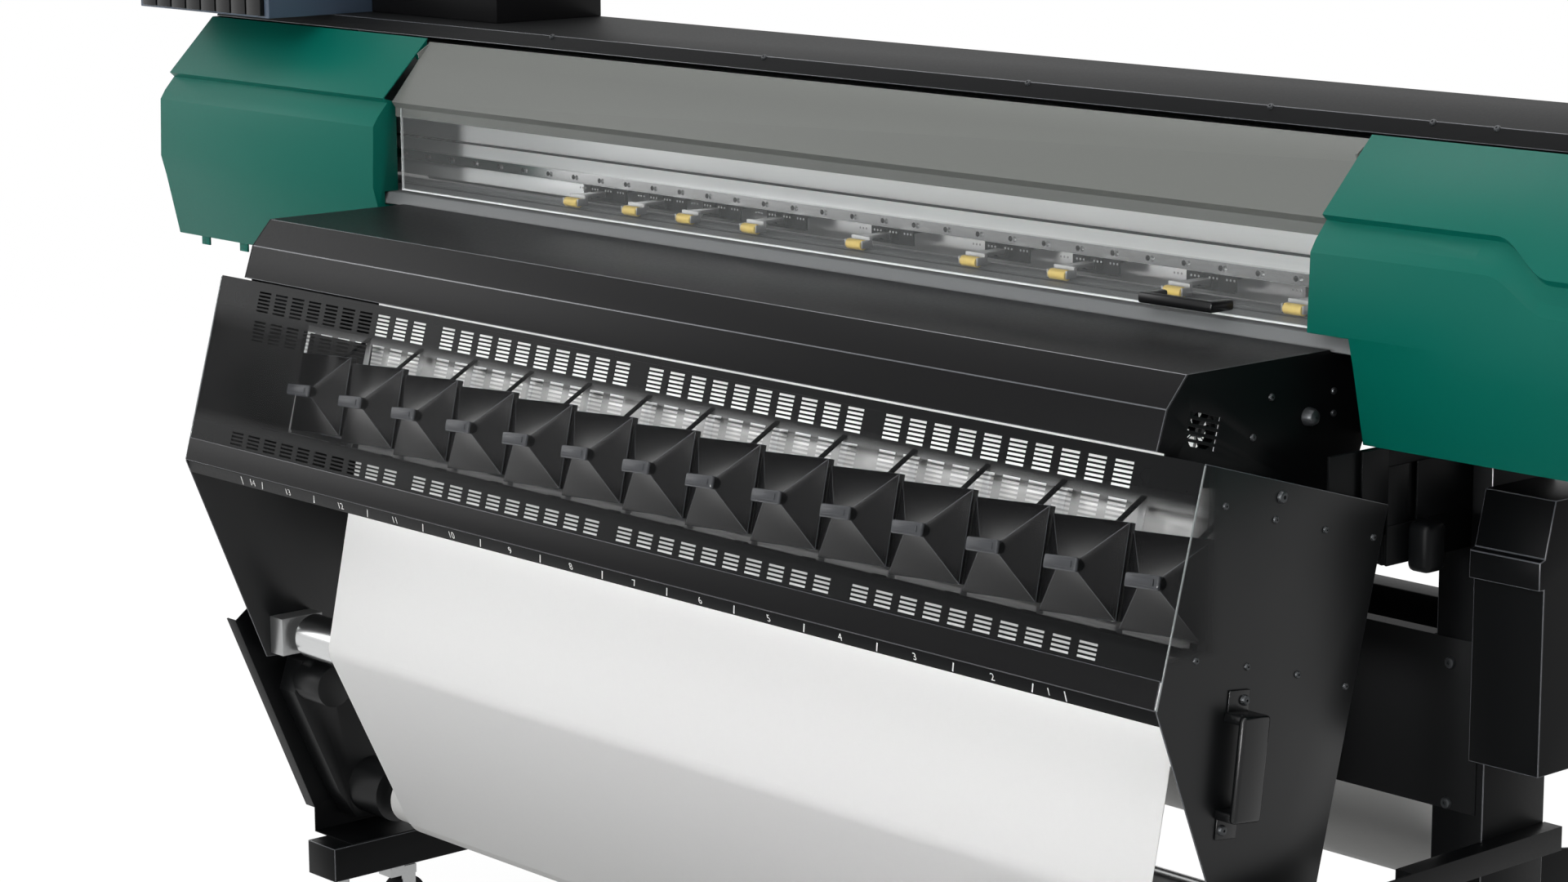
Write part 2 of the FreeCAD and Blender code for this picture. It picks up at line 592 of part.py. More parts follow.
rail_start = "(%s + rail_inset)" % beam_start
rail_span = "(%s - 2 * rail_inset)" % beam_span
rail_z = "beam_low + rail_lift"
rail_bar = box("rail_bar", (rail_start, "beam_front - rail_deep", rail_z),
               (rail_span, "rail_deep", "rail_tall"))
doc.recompute()
hole_count = int(mm(rail_span) / mm("rail_pitch"))
hole_start = mm(rail_start) + (mm(rail_span) - (hole_count - 1) * mm("rail_pitch")) / 2
hole_z = mm(rail_z) + mm("rail_tall") / 2
rail_front = mm("beam_front - rail_deep")
holes = []
for count in range(hole_count):
    mouth = Vector(hole_start + count * mm("rail_pitch"), rail_front, hole_z)
    holes.append(Part.makeCylinder(mm("rail_bore"), mm("rail_sink"), mouth, Vector(0, 1, 0)))
    holes.append(Part.makeCylinder(mm("rail_hole"), mm("rail_deep"), mouth, Vector(0, 1, 0)))
rail = doc.addObject("Part::Feature", "linear_rail")
rail.Shape = rail_bar.Shape.cut(Part.makeCompound(holes))
keep("linear_rail", rail)

# Pinch sets: one holder, one arm and one roller, copied along the beam.
lug_size = ("holder_lug", "beam_front - arm_y + arm_boss", "beam_low - arm_z + arm_boss")
holder_lug = box("holder_lug_left", ("-arm_wide / 2 - lug_gap - holder_lug", "arm_y - arm_boss",
                                     "arm_z - arm_boss"), lug_size)
holder_lug_right = box("holder_lug_right", ("arm_wide / 2 + lug_gap", "arm_y - arm_boss",
                                            "arm_z - arm_boss"), lug_size)
holder_plate = box("holder_plate", ("-holder_wide / 2", "beam_front", "arm_z - holder_drop"),
                   ("holder_wide", "holder_lug", "beam_low - arm_z + holder_drop"))
holder_foot = box("holder_foot", ("-holder_wide / 2", "beam_front", "beam_low - holder_lug"),
                  ("holder_wide", "beam_deep / 2", "holder_lug"))
holder_pin = rod("holder_pin", "X", ("-arm_wide / 2 - lug_gap - holder_lug", "arm_y", "arm_z"),
                 "arm_pin", "arm_wide + 2 * lug_gap + 2 * holder_lug")
holder = fuse("pinch_holder", [holder_lug, holder_lug_right, holder_plate, holder_foot, holder_pin])

pinch_z = "(platen_top + 0.2 + gap_fit + pinch_round)"
fork_half = "(pinch_wide / 2 + 1)"
arm_boss = rod("arm_boss", "X", ("-arm_wide / 2", "arm_y", "arm_z"), "arm_boss", "arm_wide")
arm_bar = box("arm_bar", ("-arm_wide / 2", "grit_y + pinch_round + 4", "arm_z"),
              ("arm_wide", "arm_y - grit_y - pinch_round - 4", "arm_boss"))
arm_yoke = box("arm_yoke", ("-%s - cheek" % fork_half, "grit_y + pinch_round + 1",
                            "%s - 3" % pinch_z),
               ("2 * (%s + cheek)" % fork_half, "5", "arm_z + arm_boss - %s + 3" % pinch_z))
arm_cheeks = [box("arm_cheek", (corner, "grit_y - 5", "%s - 4" % pinch_z),
                  ("cheek", "pinch_round + 11", "10"))
              for corner in ("-%s - cheek" % fork_half, fork_half)]
arm_axle = rod("arm_axle", "X", ("-%s - cheek" % fork_half, "grit_y", pinch_z), "pinch_pin",
               "2 * (%s + cheek)" % fork_half)
arm_solid = fuse("arm_solid", [arm_boss, arm_bar, arm_yoke, arm_axle] + arm_cheeks)
arm_bore = rod("arm_bore", "X", ("-arm_wide", "arm_y", "arm_z"), "arm_pin + gap_shaft",
               "2 * arm_wide")
arm = cut("pinch_arm", arm_solid, [arm_bore])

roll_solid = rod("roll_solid", "X", ("-pinch_wide / 2", "grit_y", pinch_z), "pinch_round",
                 "pinch_wide")
roll_bore = rod("roll_bore", "X", ("-pinch_wide", "grit_y", pinch_z), "pinch_pin + gap_shaft",
                "2 * pinch_wide")
pinch = cut("pinch_roller", roll_solid, [roll_bore])
doc.recompute()
for label, piece in (("pinch_holders", holder), ("pinch_arms", arm), ("pinch_rollers", pinch)):
    group(label, [moved(piece.Shape, place) for place in PINCH_PLACES])

head_start = "head_x - head_wide / 2"
head_nose = box("head_nose_block", (head_start, "head_front", "head_low"),
                ("head_wide", "head_nose", "head_step - head_low"))
head_top = box("head_top", (head_start, "head_front", "head_step"),
               ("head_wide", "beam_front - belt_wide - 12 - head_front", "head_high - head_step"))
head_shoe = box("head_shoe", ("%s + 25" % head_start, "beam_front - rail_deep - 14",
                              "%s + rail_tall / 2 - 6" % rail_z),
                ("head_wide - 50", "14 - gap_fit",
                 "head_step - %s - rail_tall / 2 + 6" % rail_z))
keep("print_carriage", fuse("print_carriage", [head_nose, head_top, head_shoe]))

# Carriage belt: a flat loop round two pulleys on the front of the beam.
belt_centre = mm("belt_low + belt_round")
belt_ends = (mm(rail_start), mm(rail_start) + mm(rail_span))
belt_y = mm("beam_front - 4 - belt_wide")


def belt_loop(radius):
    """A race-track face round both pulleys."""
    left, right = belt_ends
    top, low = belt_centre + radius, belt_centre - radius
    corners = [Vector(left, belt_y, low), Vector(right, belt_y, low), Vector(right, belt_y, top),
               Vector(left, belt_y, top)]
    edges = [Part.LineSegment(corners[0], corners[1]).toShape(),
             Part.Arc(corners[1], Vector(right + radius, belt_y, belt_centre), corners[2]).toShape(),
             Part.LineSegment(corners[2], corners[3]).toShape(),
             Part.Arc(corners[3], Vector(left - radius, belt_y, belt_centre), corners[0]).toShape()]
    return Part.Face(Part.Wire(edges)).extrude(Vector(0, mm("belt_wide"), 0))


belt_outer = belt_loop(mm("belt_round + gap_fit + belt_wall"))
belt_band = belt_outer.cut(belt_loop(mm("belt_round + gap_fit")))
pulleys = []
for place in belt_ends:
    rim = Part.makeCylinder(mm("belt_round"), mm("belt_wide"), Vector(place, belt_y, belt_centre),
                            Vector(0, 1, 0))
    spindle = Part.makeCylinder(mm("axle_round"), mm("beam_front") - belt_y,
                                Vector(place, belt_y, belt_centre), Vector(0, 1, 0))
    pulleys.append(rim.fuse(spindle))
group("drive_belt", [belt_band] + pulleys)

# ------------------------------------------------------------------ hinged front cover
cover_start = "bay_left + gap_cover"
cover_span = "bay_right - bay_left - 2 * gap_cover"
HINGE_EAR = [("hinge_y - 8", "hinge_z - 7"), ("hinge_y + 8", "hinge_z - 7"),
             ("brow_y - 1", "brow_z - 7"), ("hinge_y - 12", "hinge_z + 3")]
ears = [slab("hinge_ear", HINGE_EAR, start, "lug")
        for start in (cover_start, "bay_right - gap_cover - lug")]
pins = [rod("hinge_pin", "X", (start, "hinge_y", "hinge_z"), "hinge_pin", "gap_cover + 2 * lug")
        for start in ("bay_left - lug", "bay_right - gap_cover - lug")]
grey_panel = (folded("grey_panel",
                                 [("window_y", "panel_lip - window_lap"), ("window_y", "panel_lip"),
                                  ("lip_y + 14", "lip_z - 6"), ("brow_y", "brow_z - 5")],
                                 "sheet_wall", cover_start, cover_span))
keep("front_cover_panel", fuse("front_cover_panel", [grey_panel] + ears + pins))
keep("front_window", box("front_window", ("bay_left + 20", "window_y - window_wall", "window_low"),
                         ("bay_right - bay_left - 26", "window_wall",
                          "panel_lip - gap_fit - window_low")))
grip_front = "window_y - window_wall - grip_out"
grip_bar = box("grip_bar", ("grip_x", grip_front, "grip_z"), ("grip_wide", "grip_thick",
                                                            "grip_thick"))
grip_legs = [box("grip_leg", (corner, grip_front, "grip_z"),
                 ("grip_thick", "grip_out", "grip_thick"))
             for corner in ("grip_x", "grip_x + grip_wide - grip_thick")]
keep("window_grip", fuse("window_grip", [grip_bar] + grip_legs))

# ------------------------------------------------------------------ fixed covers
keep("top_cover", folded("top_cover", [("brow_y + 6", "brow_z + 1"), ("roof_y", "roof_z"),
                                       ("roof_back", "roof_z"), ("roof_back", "roof_drop")],
                         "sheet_wall", "end_left", "end_right - end_left"))

COVER_FRONT = [("brow_y - 2", "brow_z"), ("lip_y", "lip_z"), ("lip_y + groove", "lip_z - 7"),
               ("belly_y + 9", "belly_z + 14"), ("belly_y", "belly_z"),
               ("belly_y - 3", "belly_z - 90"), ("belly_y + 6", "chin_z + 95"),
               ("chin_y", "chin_z"), ("chin_y + chin_turn", "chin_z")]
CAP_BACK = [("roof_back - 6", "chin_z"), ("roof_back - 6", "brow_z")]
LUG_OUTLINE = [("hinge_y - 8", "hinge_z - 7"), ("hinge_y + 8", "hinge_z - 7"),
               ("brow_y - 2.5", "brow_z - 1"), ("brow_y - 24", "brow_z - 22.5")]
RETURN_OUTLINE = COVER_FRONT[1:-1] + [("window_y + 4", "chin_z"), ("window_y + 4", "lip_z - 7")]


def platen_pass(label, start, length):
    """The notch through which the platen and its turned lip pass a side cover."""
    return box(label, (start, "platen_front - platen_turn - gap_fit",
                       "platen_top - platen_drop - platen_wall"),
               (length, "window_y - platen_front + platen_turn + 5 + gap_fit",
                "platen_drop + platen_wall + gap_fit"))


def side_cover(label, start, stop, outer, inner, cap_front=COVER_FRONT):
    """A folded front, a flat outer end and a narrow inner return, as one moulding."""
    front = folded(label + "_front", COVER_FRONT, "-sheet_wall", start, "%s - (%s)" % (stop, start))
    cap = slab(label + "_cap", cap_front[:-1] + CAP_BACK, outer, "sheet_wall")
    edge = slab(label + "_return", RETURN_OUTLINE, inner, "sheet_wall")
    lug_start = inner if inner == "bay_right" else "bay_left - lug"
    lug = slab(label + "_lug", LUG_OUTLINE, lug_start, "lug")
    bore = rod(label + "_bore", "X", ("%s - 1" % lug_start, "hinge_y", "hinge_z"),
               "hinge_pin + gap_shaft", "lug + 2")
    joined = fuse(label + "_joined", [front, cap, edge, lug])
    joined.Refine = cap_front is COVER_FRONT
    return cut(label + "_shell", joined, [bore])


left_shell = side_cover("left_cover", "end_left", "bay_left", "end_left", "bay_left - sheet_wall")
lever_hole = rod("lever_hole", "X", ("end_left - 1", "lever_y", "lever_z"), "lever_pin + 4",
                 "sheet_wall + 2")
cover_tabs = [box("cover_tab", (place, "chin_y + 2", "chin_z - 13"), ("22", "3", "15"))
              for place in ("end_left + 60", "end_left + 168")]
left_notch = platen_pass("left_notch", "bay_left - 2 * sheet_wall", "3 * sheet_wall")
keep("left_cover", cut("left_cover", fuse("left_joined", [left_shell] + cover_tabs),
                       [lever_hole, left_notch]))
# Beyond the swoop the right cover's lip is lower and further forward.
COVER_LOW = [("brow_y - 2", "brow_z"), ("lip_y - swoop / 2", "lip_z - swoop"),
             ("lip_y - swoop / 2 + groove", "lip_z - swoop - 7"),
             ("belly_y + 6", "belly_z + 14 - swoop"), ("belly_y - 1", "belly_z - swoop"),
             ("belly_y - 3", "belly_z - 90"), ("belly_y + 6", "chin_z + 95"),
             ("chin_y", "chin_z"), ("chin_y + chin_turn", "chin_z")]
right_near = side_cover("right_cover", "bay_right", "bay_right + swoop_x", "end_right - sheet_wall",
                        "bay_right", COVER_LOW)
right_far = folded("right_far", COVER_LOW, "-sheet_wall", "bay_right + swoop_x",
                   "end_right - bay_right - swoop_x")
swoop_wall = slab("swoop_wall", COVER_LOW[:5] + [("belly_y + 12", "belly_z - swoop"),
                                                ("lip_y + 20", "lip_z - 4"),
                                                ("brow_y - 6", "brow_z - 7")],
                  "bay_right + swoop_x - sheet_wall / 2", "sheet_wall")
right_shell = fuse("right_shell", [right_near, right_far, swoop_wall])
step_cut = box("step_cut", ("bay_right - 1", "belly_y - 20", "chin_z - 20"),
               ("step_x + 1", "window_y - belly_y + 60", "step_z - chin_z + 20"))
right_open = cut("right_open", right_shell, [step_cut])
step_edge = slab("step_edge", [("belly_y - 1", "step_z"), ("belly_y + 6", "chin_z + 95"),
                               ("chin_y", "chin_z"), ("window_y + 4", "chin_z"),
                               ("window_y + 4", "step_z")], "bay_right + step_x", "sheet_wall")
right_notch = platen_pass("right_notch", "bay_right - sheet_wall", "step_x + 3 * sheet_wall")
keep("right_cover", cut("right_cover", fuse("right_joined", [right_open, step_edge]), [right_notch]))

# Control panel on the right cover's slope. Local frame: x along X, y up the slope, z outwards.
slope_angle = math.degrees(math.atan2(mm("brow_z - lip_z + swoop"),
                                      mm("brow_y - 2 - lip_y + swoop / 2")))
slope_turn = Rotation(Vector(1, 0, 0), slope_angle)
slope_base = Vector(mm("desk_x"), mm("lip_y - swoop / 2"), mm("lip_z - swoop"))
desk_block = box("desk_block", ("0", "desk_up", "0"), ("desk_wide", "desk_deep", "desk_thick"))
desk_hole = rod("desk_hole", "Z", ("desk_wide - 22", "desk_up + 20", "-1"),
                "key_round + gap_fit", "desk_thick + 2")
desk = keep("control_panel", cut("control_panel", desk_block, [desk_hole]))
desk.Placement = Placement(slope_base, slope_turn)
key = keep("power_button", rod("power_button", "Z", ("0", "0", "0"), "key_round",
                               "desk_thick + key_proud - key_travel - gap_fit"))
key_foot = slope_turn.multVec(Vector(mm("desk_wide - 22"), mm("desk_up + 20"),
                                     mm("key_travel + gap_fit")))
key.setExpression("Placement.Base.x", None)
key.setExpression("Placement.Base.y", None)
key.setExpression("Placement.Base.z", None)
key.Placement = Placement(slope_base.add(key_foot), slope_turn)

# ------------------------------------------------------------------ ink supply
tray_left = "-end_right"
tray_block = box("tray_block", (tray_left, "tray_front", "roof_z"),
                 ("tray_right - (%s)" % tray_left, "tray_back - tray_front", "tray_tall"))
tray_hollow = box("tray_hollow", ("%s + tray_side" % tray_left, "tray_front - 1",
                                  "roof_z + tray_wall"),
                  ("tray_right - (%s) - 2 * tray_side" % tray_left,
                   "tray_back - tray_front - tray_wall + 1", "tray_tall"))
keep("ink_tray", cut("ink_tray", tray_block, [tray_hollow]))
doc.recompute()
pack_count = int(mm("pack_count"))
pack_pitch = "((tray_right + end_right - 2 * tray_side) / pack_count)"
for number in range(1, pack_count + 1):
    keep("ink_pack_%d" % number,
         box("ink_pack_%d" % number,
             ("%s + tray_side + %s * %d + pack_gap / 2" % (tray_left, pack_pitch, number - 1),
              "tray_front - pack_proud", "roof_z + tray_wall + gap_fit"),
             ("%s - pack_gap" % pack_pitch, "tray_back - tray_front - tray_wall - 4 + pack_proud",
              "pack_tall")))

ink_block = box("ink_block", ("tray_right + gap_cover", "ink_front", "roof_z"),
                ("ink_right - tray_right - gap_cover", "roof_back - ink_front", "ink_tall"))
ink_hollow = box("ink_hollow", ("tray_right + gap_cover + sheet_wall", "ink_front + sheet_wall",
                                "roof_z - 1"),
                 ("ink_right - tray_right - gap_cover - 2 * sheet_wall",
                  "roof_back - ink_front - 2 * sheet_wall", "ink_tall - sheet_wall + 1"))
keep("ink_housing", cut("ink_housing", ink_block, [ink_hollow]))

# ------------------------------------------------------------------ drying hood
keep("dryer_hood", folded("dryer_hood",
                          [("hood_back", "hood_top"),
                           ("hood_edge", "hood_top"), ("bevel_y", "bevel_z"),
                           ("hood_tip_y", "hood_tip_z")],
                          "-sheet_wall", "-hood_x", "2 * hood_x"))
END_PLATE = [("frame_front - gap_fit", "frame_low"), ("frame_front - gap_fit", "hood_top - 12"),
             ("platen_front - platen_turn - 1", "platen_top - platen_drop - platen_wall"),
             ("hood_back", "hood_top"), ("hood_edge", "hood_top"), ("bevel_y", "bevel_z"),
             ("hood_tip_y", "hood_tip_z"), ("hood_tip_y + tip_step", "hood_tip_z - 3.5"),
             ("hood_tip_y + tip_step", "hood_tip_z - 36"),
             ("side_back_y", "side_back_z - 10")]
end_sheet = slab("dryer_end_sheet", END_PLATE, "hood_x", "sheet_wall")
carrier = box("unit_carrier", ("hood_x", "side_back_y - 105", "side_back_z - 6"),
              ("unit_x - unit_plate - hood_x - gap_fit", "92", "sheet_wall"))
carrier_tab = box("carrier_tab", ("unit_x - unit_plate - gap_fit - sheet_wall",
                                  "side_back_y - 105", "side_back_z - 30"),
                  ("sheet_wall", "92", "24"))
end_blank = fuse("dryer_end_blank", [end_sheet, carrier, carrier_tab])
doc.recompute()
vent_base = Vector(mm("hood_x") - 1, mm("vent_y"), mm("vent_z"))
vent_turn = Rotation(Vector(1, 0, 0), -mm("vent_tilt"))
vents = []
for count in range(int(mm("vent_count"))):
    rise = (count - (mm("vent_count") - 1) / 2) * mm("vent_pitch") - mm("vent_wide") / 2
    vent = Part.makeBox(mm("sheet_wall") + 2, mm("vent_long"), mm("vent_wide"),
                        Vector(0, -mm("vent_long") / 2, rise))
    vent.Placement = Placement(vent_base, vent_turn)
    vents.append(vent)
end_plate = end_blank.Shape.cut(Part.makeCompound(vents))
# The fan's square frame, with a spider that carries its pin, stands behind the right vents.
frame_side = mm("frame_square")
frame_deep = mm("rotor_deep + fan_gap + 3")
frame_x = mm("hood_x") - frame_deep
fan_frame = Part.makeBox(frame_deep, frame_side, frame_side,
                         Vector(frame_x, -frame_side / 2, -frame_side / 2))
fan_frame = fan_frame.cut(Part.makeCylinder(mm("rotor_round + fan_gap"), frame_deep,
                                            Vector(frame_x, 0, 0), Vector(1, 0, 0)))
for quarter in (45, 135):
    spoke = Part.makeBox(2, 2 * mm("rotor_round + fan_gap") + 2, 3,
                         Vector(frame_x, -mm("rotor_round + fan_gap") - 1, -1.5))
    spoke.rotate(Vector(), Vector(1, 0, 0), quarter)
    fan_frame = fan_frame.fuse(spoke)
fan_frame = fan_frame.fuse(Part.makeCylinder(mm("rotor_pin"), frame_deep - 1,
                                             Vector(frame_x, 0, 0), Vector(1, 0, 0)))
fan_place = Vector(0, mm("vent_y"), mm("vent_z"))
fan_frame.rotate(Vector(), Vector(1, 0, 0), -mm("vent_tilt"))
fan_frame.translate(fan_place)
group("dryer_ends", [end_plate, mirrored(end_plate), fan_frame])

# Fan rotor: a hub with seven pitched blades.
rotor_x = frame_x + 2 + mm("fan_gap") / 2
rotor = Part.makeCylinder(mm("rotor_hub"), mm("rotor_deep"), Vector(rotor_x, 0, 0), Vector(1, 0, 0))
BLADES = 7
for count in range(BLADES):
    blade = Part.makeBox(mm("rotor_deep") - 1, mm("rotor_round - rotor_hub") + 2, 1.2,
                         Vector(-(mm("rotor_deep") - 1) / 2, mm("rotor_hub") - 2, -0.6))
    blade.rotate(Vector(), Vector(0, 1, 0), 35)
    blade.translate(Vector(rotor_x + mm("rotor_deep") / 2, 0, 0))
    blade.rotate(Vector(), Vector(1, 0, 0), 360 * count / BLADES)
    rotor = rotor.fuse(blade)
rotor = rotor.cut(Part.makeCylinder(mm("rotor_pin + gap_shaft"), 60, Vector(rotor_x - 20, 0, 0),
                                    Vector(1, 0, 0)))
group("dryer_fan", [moved(rotor, 0, fan_place.y, fan_place.z)])

# ------------------------------------------------------------------ hot-air unit
top_front = ("unit_y + unit_tall * sin(unit_tilt * 1deg)", "unit_z + unit_tall * cos(unit_tilt * 1deg)")
SIDE_OUTLINE = [("unit_y", "unit_z"), top_front, ("side_back_y", "side_back_z"),
                ("side_foot_y", "side_foot_z"), ("side_tip_y", "side_tip_z")]
side_plate = slab("unit_side", SIDE_OUTLINE, "unit_x - unit_plate", "unit_plate")
doc.recompute()
group("fan_box_sides", [side_plate.Shape, mirrored(side_plate.Shape)])

front_half = mm("unit_x - unit_plate - gap_fit")


def slot_places():
    """Left corners of the louvre columns, in groups that are centred on the middle plane."""
    columns, groups = int(mm("slot_columns")), int(mm("slot_groups"))
    width = (groups - 1) * mm("group_pitch") + (columns - 1) * mm("slot_pitch") + mm("slot_long")
    return [-width / 2 + block * mm("group_pitch") + column * mm("slot_pitch")
            for block in range(groups) for column in range(columns)]


def pierced(outer, inner):
    """A flat sheet with windows."""
    flat = Part.makeFace([outer] + inner, "Part::FaceMakerBullseye")
    return flat.extrude(Vector(0, mm("front_wall"), 0))


def window_wire(x_low, x_high, z_low, z_high, depth):
    """A rectangle in the unit's front plane."""
    corners = [(x_low, z_low), (x_high, z_low), (x_high, z_high), (x_low, z_high), (x_low, z_low)]
    return Part.makePolygon([Vector(x, depth, z) for x, z in corners])


slot_rows = [mm("lower_z") + count * mm("slot_rise") for count in range(int(mm("lower_slots")))]
slot_rows += [mm("middle_z") + count * mm("slot_rise") for count in range(int(mm("upper_slots")))]
slot_rows += [mm("upper_z") + count * mm("slot_rise") for count in range(int(mm("upper_slots")))]
openings = [window_wire(x, x + mm("slot_long"), z, z + mm("slot_high"), 0)
            for x in slot_places() for z in slot_rows]
front_outline = window_wire(-front_half, front_half, mm("rail_band + gap_fit"), mm("unit_tall"), 0)
front_panel = pierced(front_outline, openings)
unit_place = Placement(Vector(0, mm("unit_y"), mm("unit_z")),
                       Rotation(Vector(1, 0, 0), -mm("unit_tilt")))


def unit_group(label, shapes):
    """A group drawn in the unit's own frame."""
    feature = group(label, shapes)
    feature.Placement = unit_place
    return feature


unit_group("fan_box_front", [front_panel])

zone_count = int(mm("zone_count"))
zone_places = [(count - (zone_count - 1) / 2) * mm("zone_pitch") for count in range(zone_count)]
jets = [window_wire(x - mm("jet_wide") / 2, x + mm("jet_wide") / 2,
                    mm("nozzle_z - jet_tall / 2"), mm("nozzle_z + jet_tall / 2"), mm("back_y"))
        for x in zone_places]
post_places = [x + mm("nozzle_wide / 5") for x in zone_places]
post_left = [-front_half - mm("back_post") / 2] + post_places
post_right = post_places + [front_half - mm("back_post") / 2]
high_low = mm("nozzle_z + jet_tall / 2 + back_bar")
for start, stop in zip(post_left, post_right):
    side_low = start + mm("back_post")
    jets.append(window_wire(side_low, stop, high_low, mm("back_high - back_bar"), mm("back_y")))
    jets.append(window_wire(side_low, stop, mm("ledge_z") + 2, mm("ledge_z + back_gap"), mm("back_y")))
back_outline = window_wire(-front_half, front_half, mm("back_low"), mm("back_high"), mm("back_y"))
unit_group("fan_box_back", [pierced(back_outline, jets)])


def rim_wire(wide, tall, depth):
    """A rectangle round the hood's axis at a depth."""
    return window_wire(-wide / 2, wide / 2, -tall / 2, tall / 2, depth)


def nozzle_skin(shrink):
    """The hood's straight rim and tapered body; shrink gives the inner surface."""
    wide, tall = mm("nozzle_wide") - 2 * shrink, mm("nozzle_tall") - 2 * shrink
    rim_y = mm("nozzle_y")
    skirt_y = rim_y - mm("nozzle_skirt")
    nose_y = rim_y - mm("nozzle_deep") + shrink
    nose_wide, nose_tall = mm("boss_wide - 2 * boss_round") - shrink, mm("2 * boss_round") - shrink
    skirt = Part.Face(rim_wire(wide, tall, rim_y)).extrude(Vector(0, skirt_y - rim_y, 0))
    taper = Part.makeLoft([rim_wire(wide, tall, skirt_y), rim_wire(nose_wide, nose_tall, nose_y)], True)
    return skirt.fuse(taper)


nose_y = mm("nozzle_y - nozzle_deep")
boss_half = mm("boss_wide / 2 - boss_round")
boss = Part.makeBox(2 * boss_half, mm("boss_long"), mm("2 * boss_round"),
                    Vector(-boss_half, nose_y - mm("boss_long"), -mm("boss_round")))
for side in (-1, 1):
    boss = boss.fuse(Part.makeCylinder(mm("boss_round"), mm("boss_long"),
                                       Vector(side * boss_half, nose_y, 0), Vector(0, -1, 0)))
nozzle = nozzle_skin(0).cut(nozzle_skin(mm("nozzle_wall"))).fuse(
    moved(boss, 0, mm("nozzle_wall") / 2, 0)).removeSplitter()
nozzle.rotate(Vector(), Vector(0, 1, 0), -mm("nozzle_roll"))
unit_group("hot_air_hoods", [moved(nozzle, x, 0, mm("nozzle_z")) for x in zone_places])

# Straps, feet and the shelf that hold the hoods in front of the back plate.
shelf = Part.makeBox(2 * front_half, mm("ledge_deep"), mm("sheet_wall"),
                     Vector(-front_half, mm("back_y - ledge_deep - 8"), mm("ledge_z")))
shelf = shelf.fuse(Part.makeBox(2 * front_half, 8.5, mm("ledge_z - back_low"),
                                Vector(-front_half, mm("back_y") - 8.5, mm("back_low"))))
mounts = [shelf]
strap_low = mm("nozzle_z + nozzle_tall / 2 + nozzle_wide / 5 * sin(nozzle_roll * 1deg)") - 2
for x in zone_places:
    strap_x = x + mm("nozzle_wide") / 5
    strap_run = mm("back_high - 2.8") - strap_low
    strap = Part.makePolygon([Vector(strap_x, mm("nozzle_y") + 0.3, strap_low),
                              Vector(strap_x, mm("back_y"), strap_low + strap_run),
                              Vector(strap_x, mm("back_y"), strap_low + strap_run + 2.4),
                              Vector(strap_x, mm("nozzle_y") + 0.3, strap_low + 2.4),
                              Vector(strap_x, mm("nozzle_y") + 0.3, strap_low)])
    mounts.append(Part.Face(strap).extrude(Vector(mm("strap_wide"), 0, 0)))
    foot_top = mm("nozzle_z - nozzle_tall / 2") - 7
    mounts[0] = mounts[0].fuse(Part.makeBox(18, 8, foot_top - mm("ledge_z"),
                                            Vector(x + mm("zone_pitch") / 2 - 22,
                                                   mm("nozzle_y") - 9, mm("ledge_z"))))
unit_group("hood_mounts", mounts)

rail_channel = folded("front_rail", [("12", "rail_band"), ("-2", "rail_band"), ("-2", "2"),
                                     ("10", "0")], "-front_wall", "-unit_x + unit_plate + gap_fit",
                      "2 * (unit_x - unit_plate - gap_fit)")
keep("front_rail", tilt(rail_channel))

rake = math.atan2(mm("side_tip_y - unit_y"), mm("unit_z - side_tip_z"))
ruler_end = (mm("unit_y") + mm("ruler_long") * math.sin(rake) + 1.2,
             mm("unit_z") - mm("ruler_long") * math.cos(rake) - 3)
ruler_top = mm("unit_z + ruler_rise")
ruler = Part.makePolygon([Vector(-front_half, mm("unit_y") + 1.2, ruler_top),
                          Vector(-front_half, ruler_end[0], ruler_end[1]),
                          Vector(-front_half, ruler_end[0] + 2, ruler_end[1] + 0.8),
                          Vector(-front_half, mm("unit_y") + 3.2, ruler_top - 0.9),
                          Vector(-front_half, mm("unit_y") + 1.2, ruler_top)])
group("ruler_strip", [Part.Face(ruler).extrude(Vector(2 * front_half, 0, 0))])

grip = box("handle_grip", ("unit_x + handle_out - handle_thick", "-handle_thick / 2",
                           "-handle_long / 2"), ("handle_thick", "handle_thick", "handle_long"))
handle_feet = [box("handle_foot", ("unit_x", "-handle_thick / 2", height),
                   ("handle_out", "handle_thick", "handle_thick"))
               for height in ("-handle_long / 2", "handle_long / 2 - handle_thick")]
handle_tabs = [box("handle_tab", ("unit_x", "-12", height), ("sheet_wall", "24", "20"))
               for height in ("-handle_long / 2 - 18", "handle_long / 2 - 2")]
handle = fuse("side_handle", [grip] + handle_feet + handle_tabs)
doc.recompute()
leaning = handle.Shape.copy()
leaning.rotate(Vector(), Vector(1, 0, 0), -mm("unit_tilt"))
leaning.translate(Vector(0, mm("handle_y"), mm("handle_z")))
group("side_handles", [leaning, mirrored(leaning)])

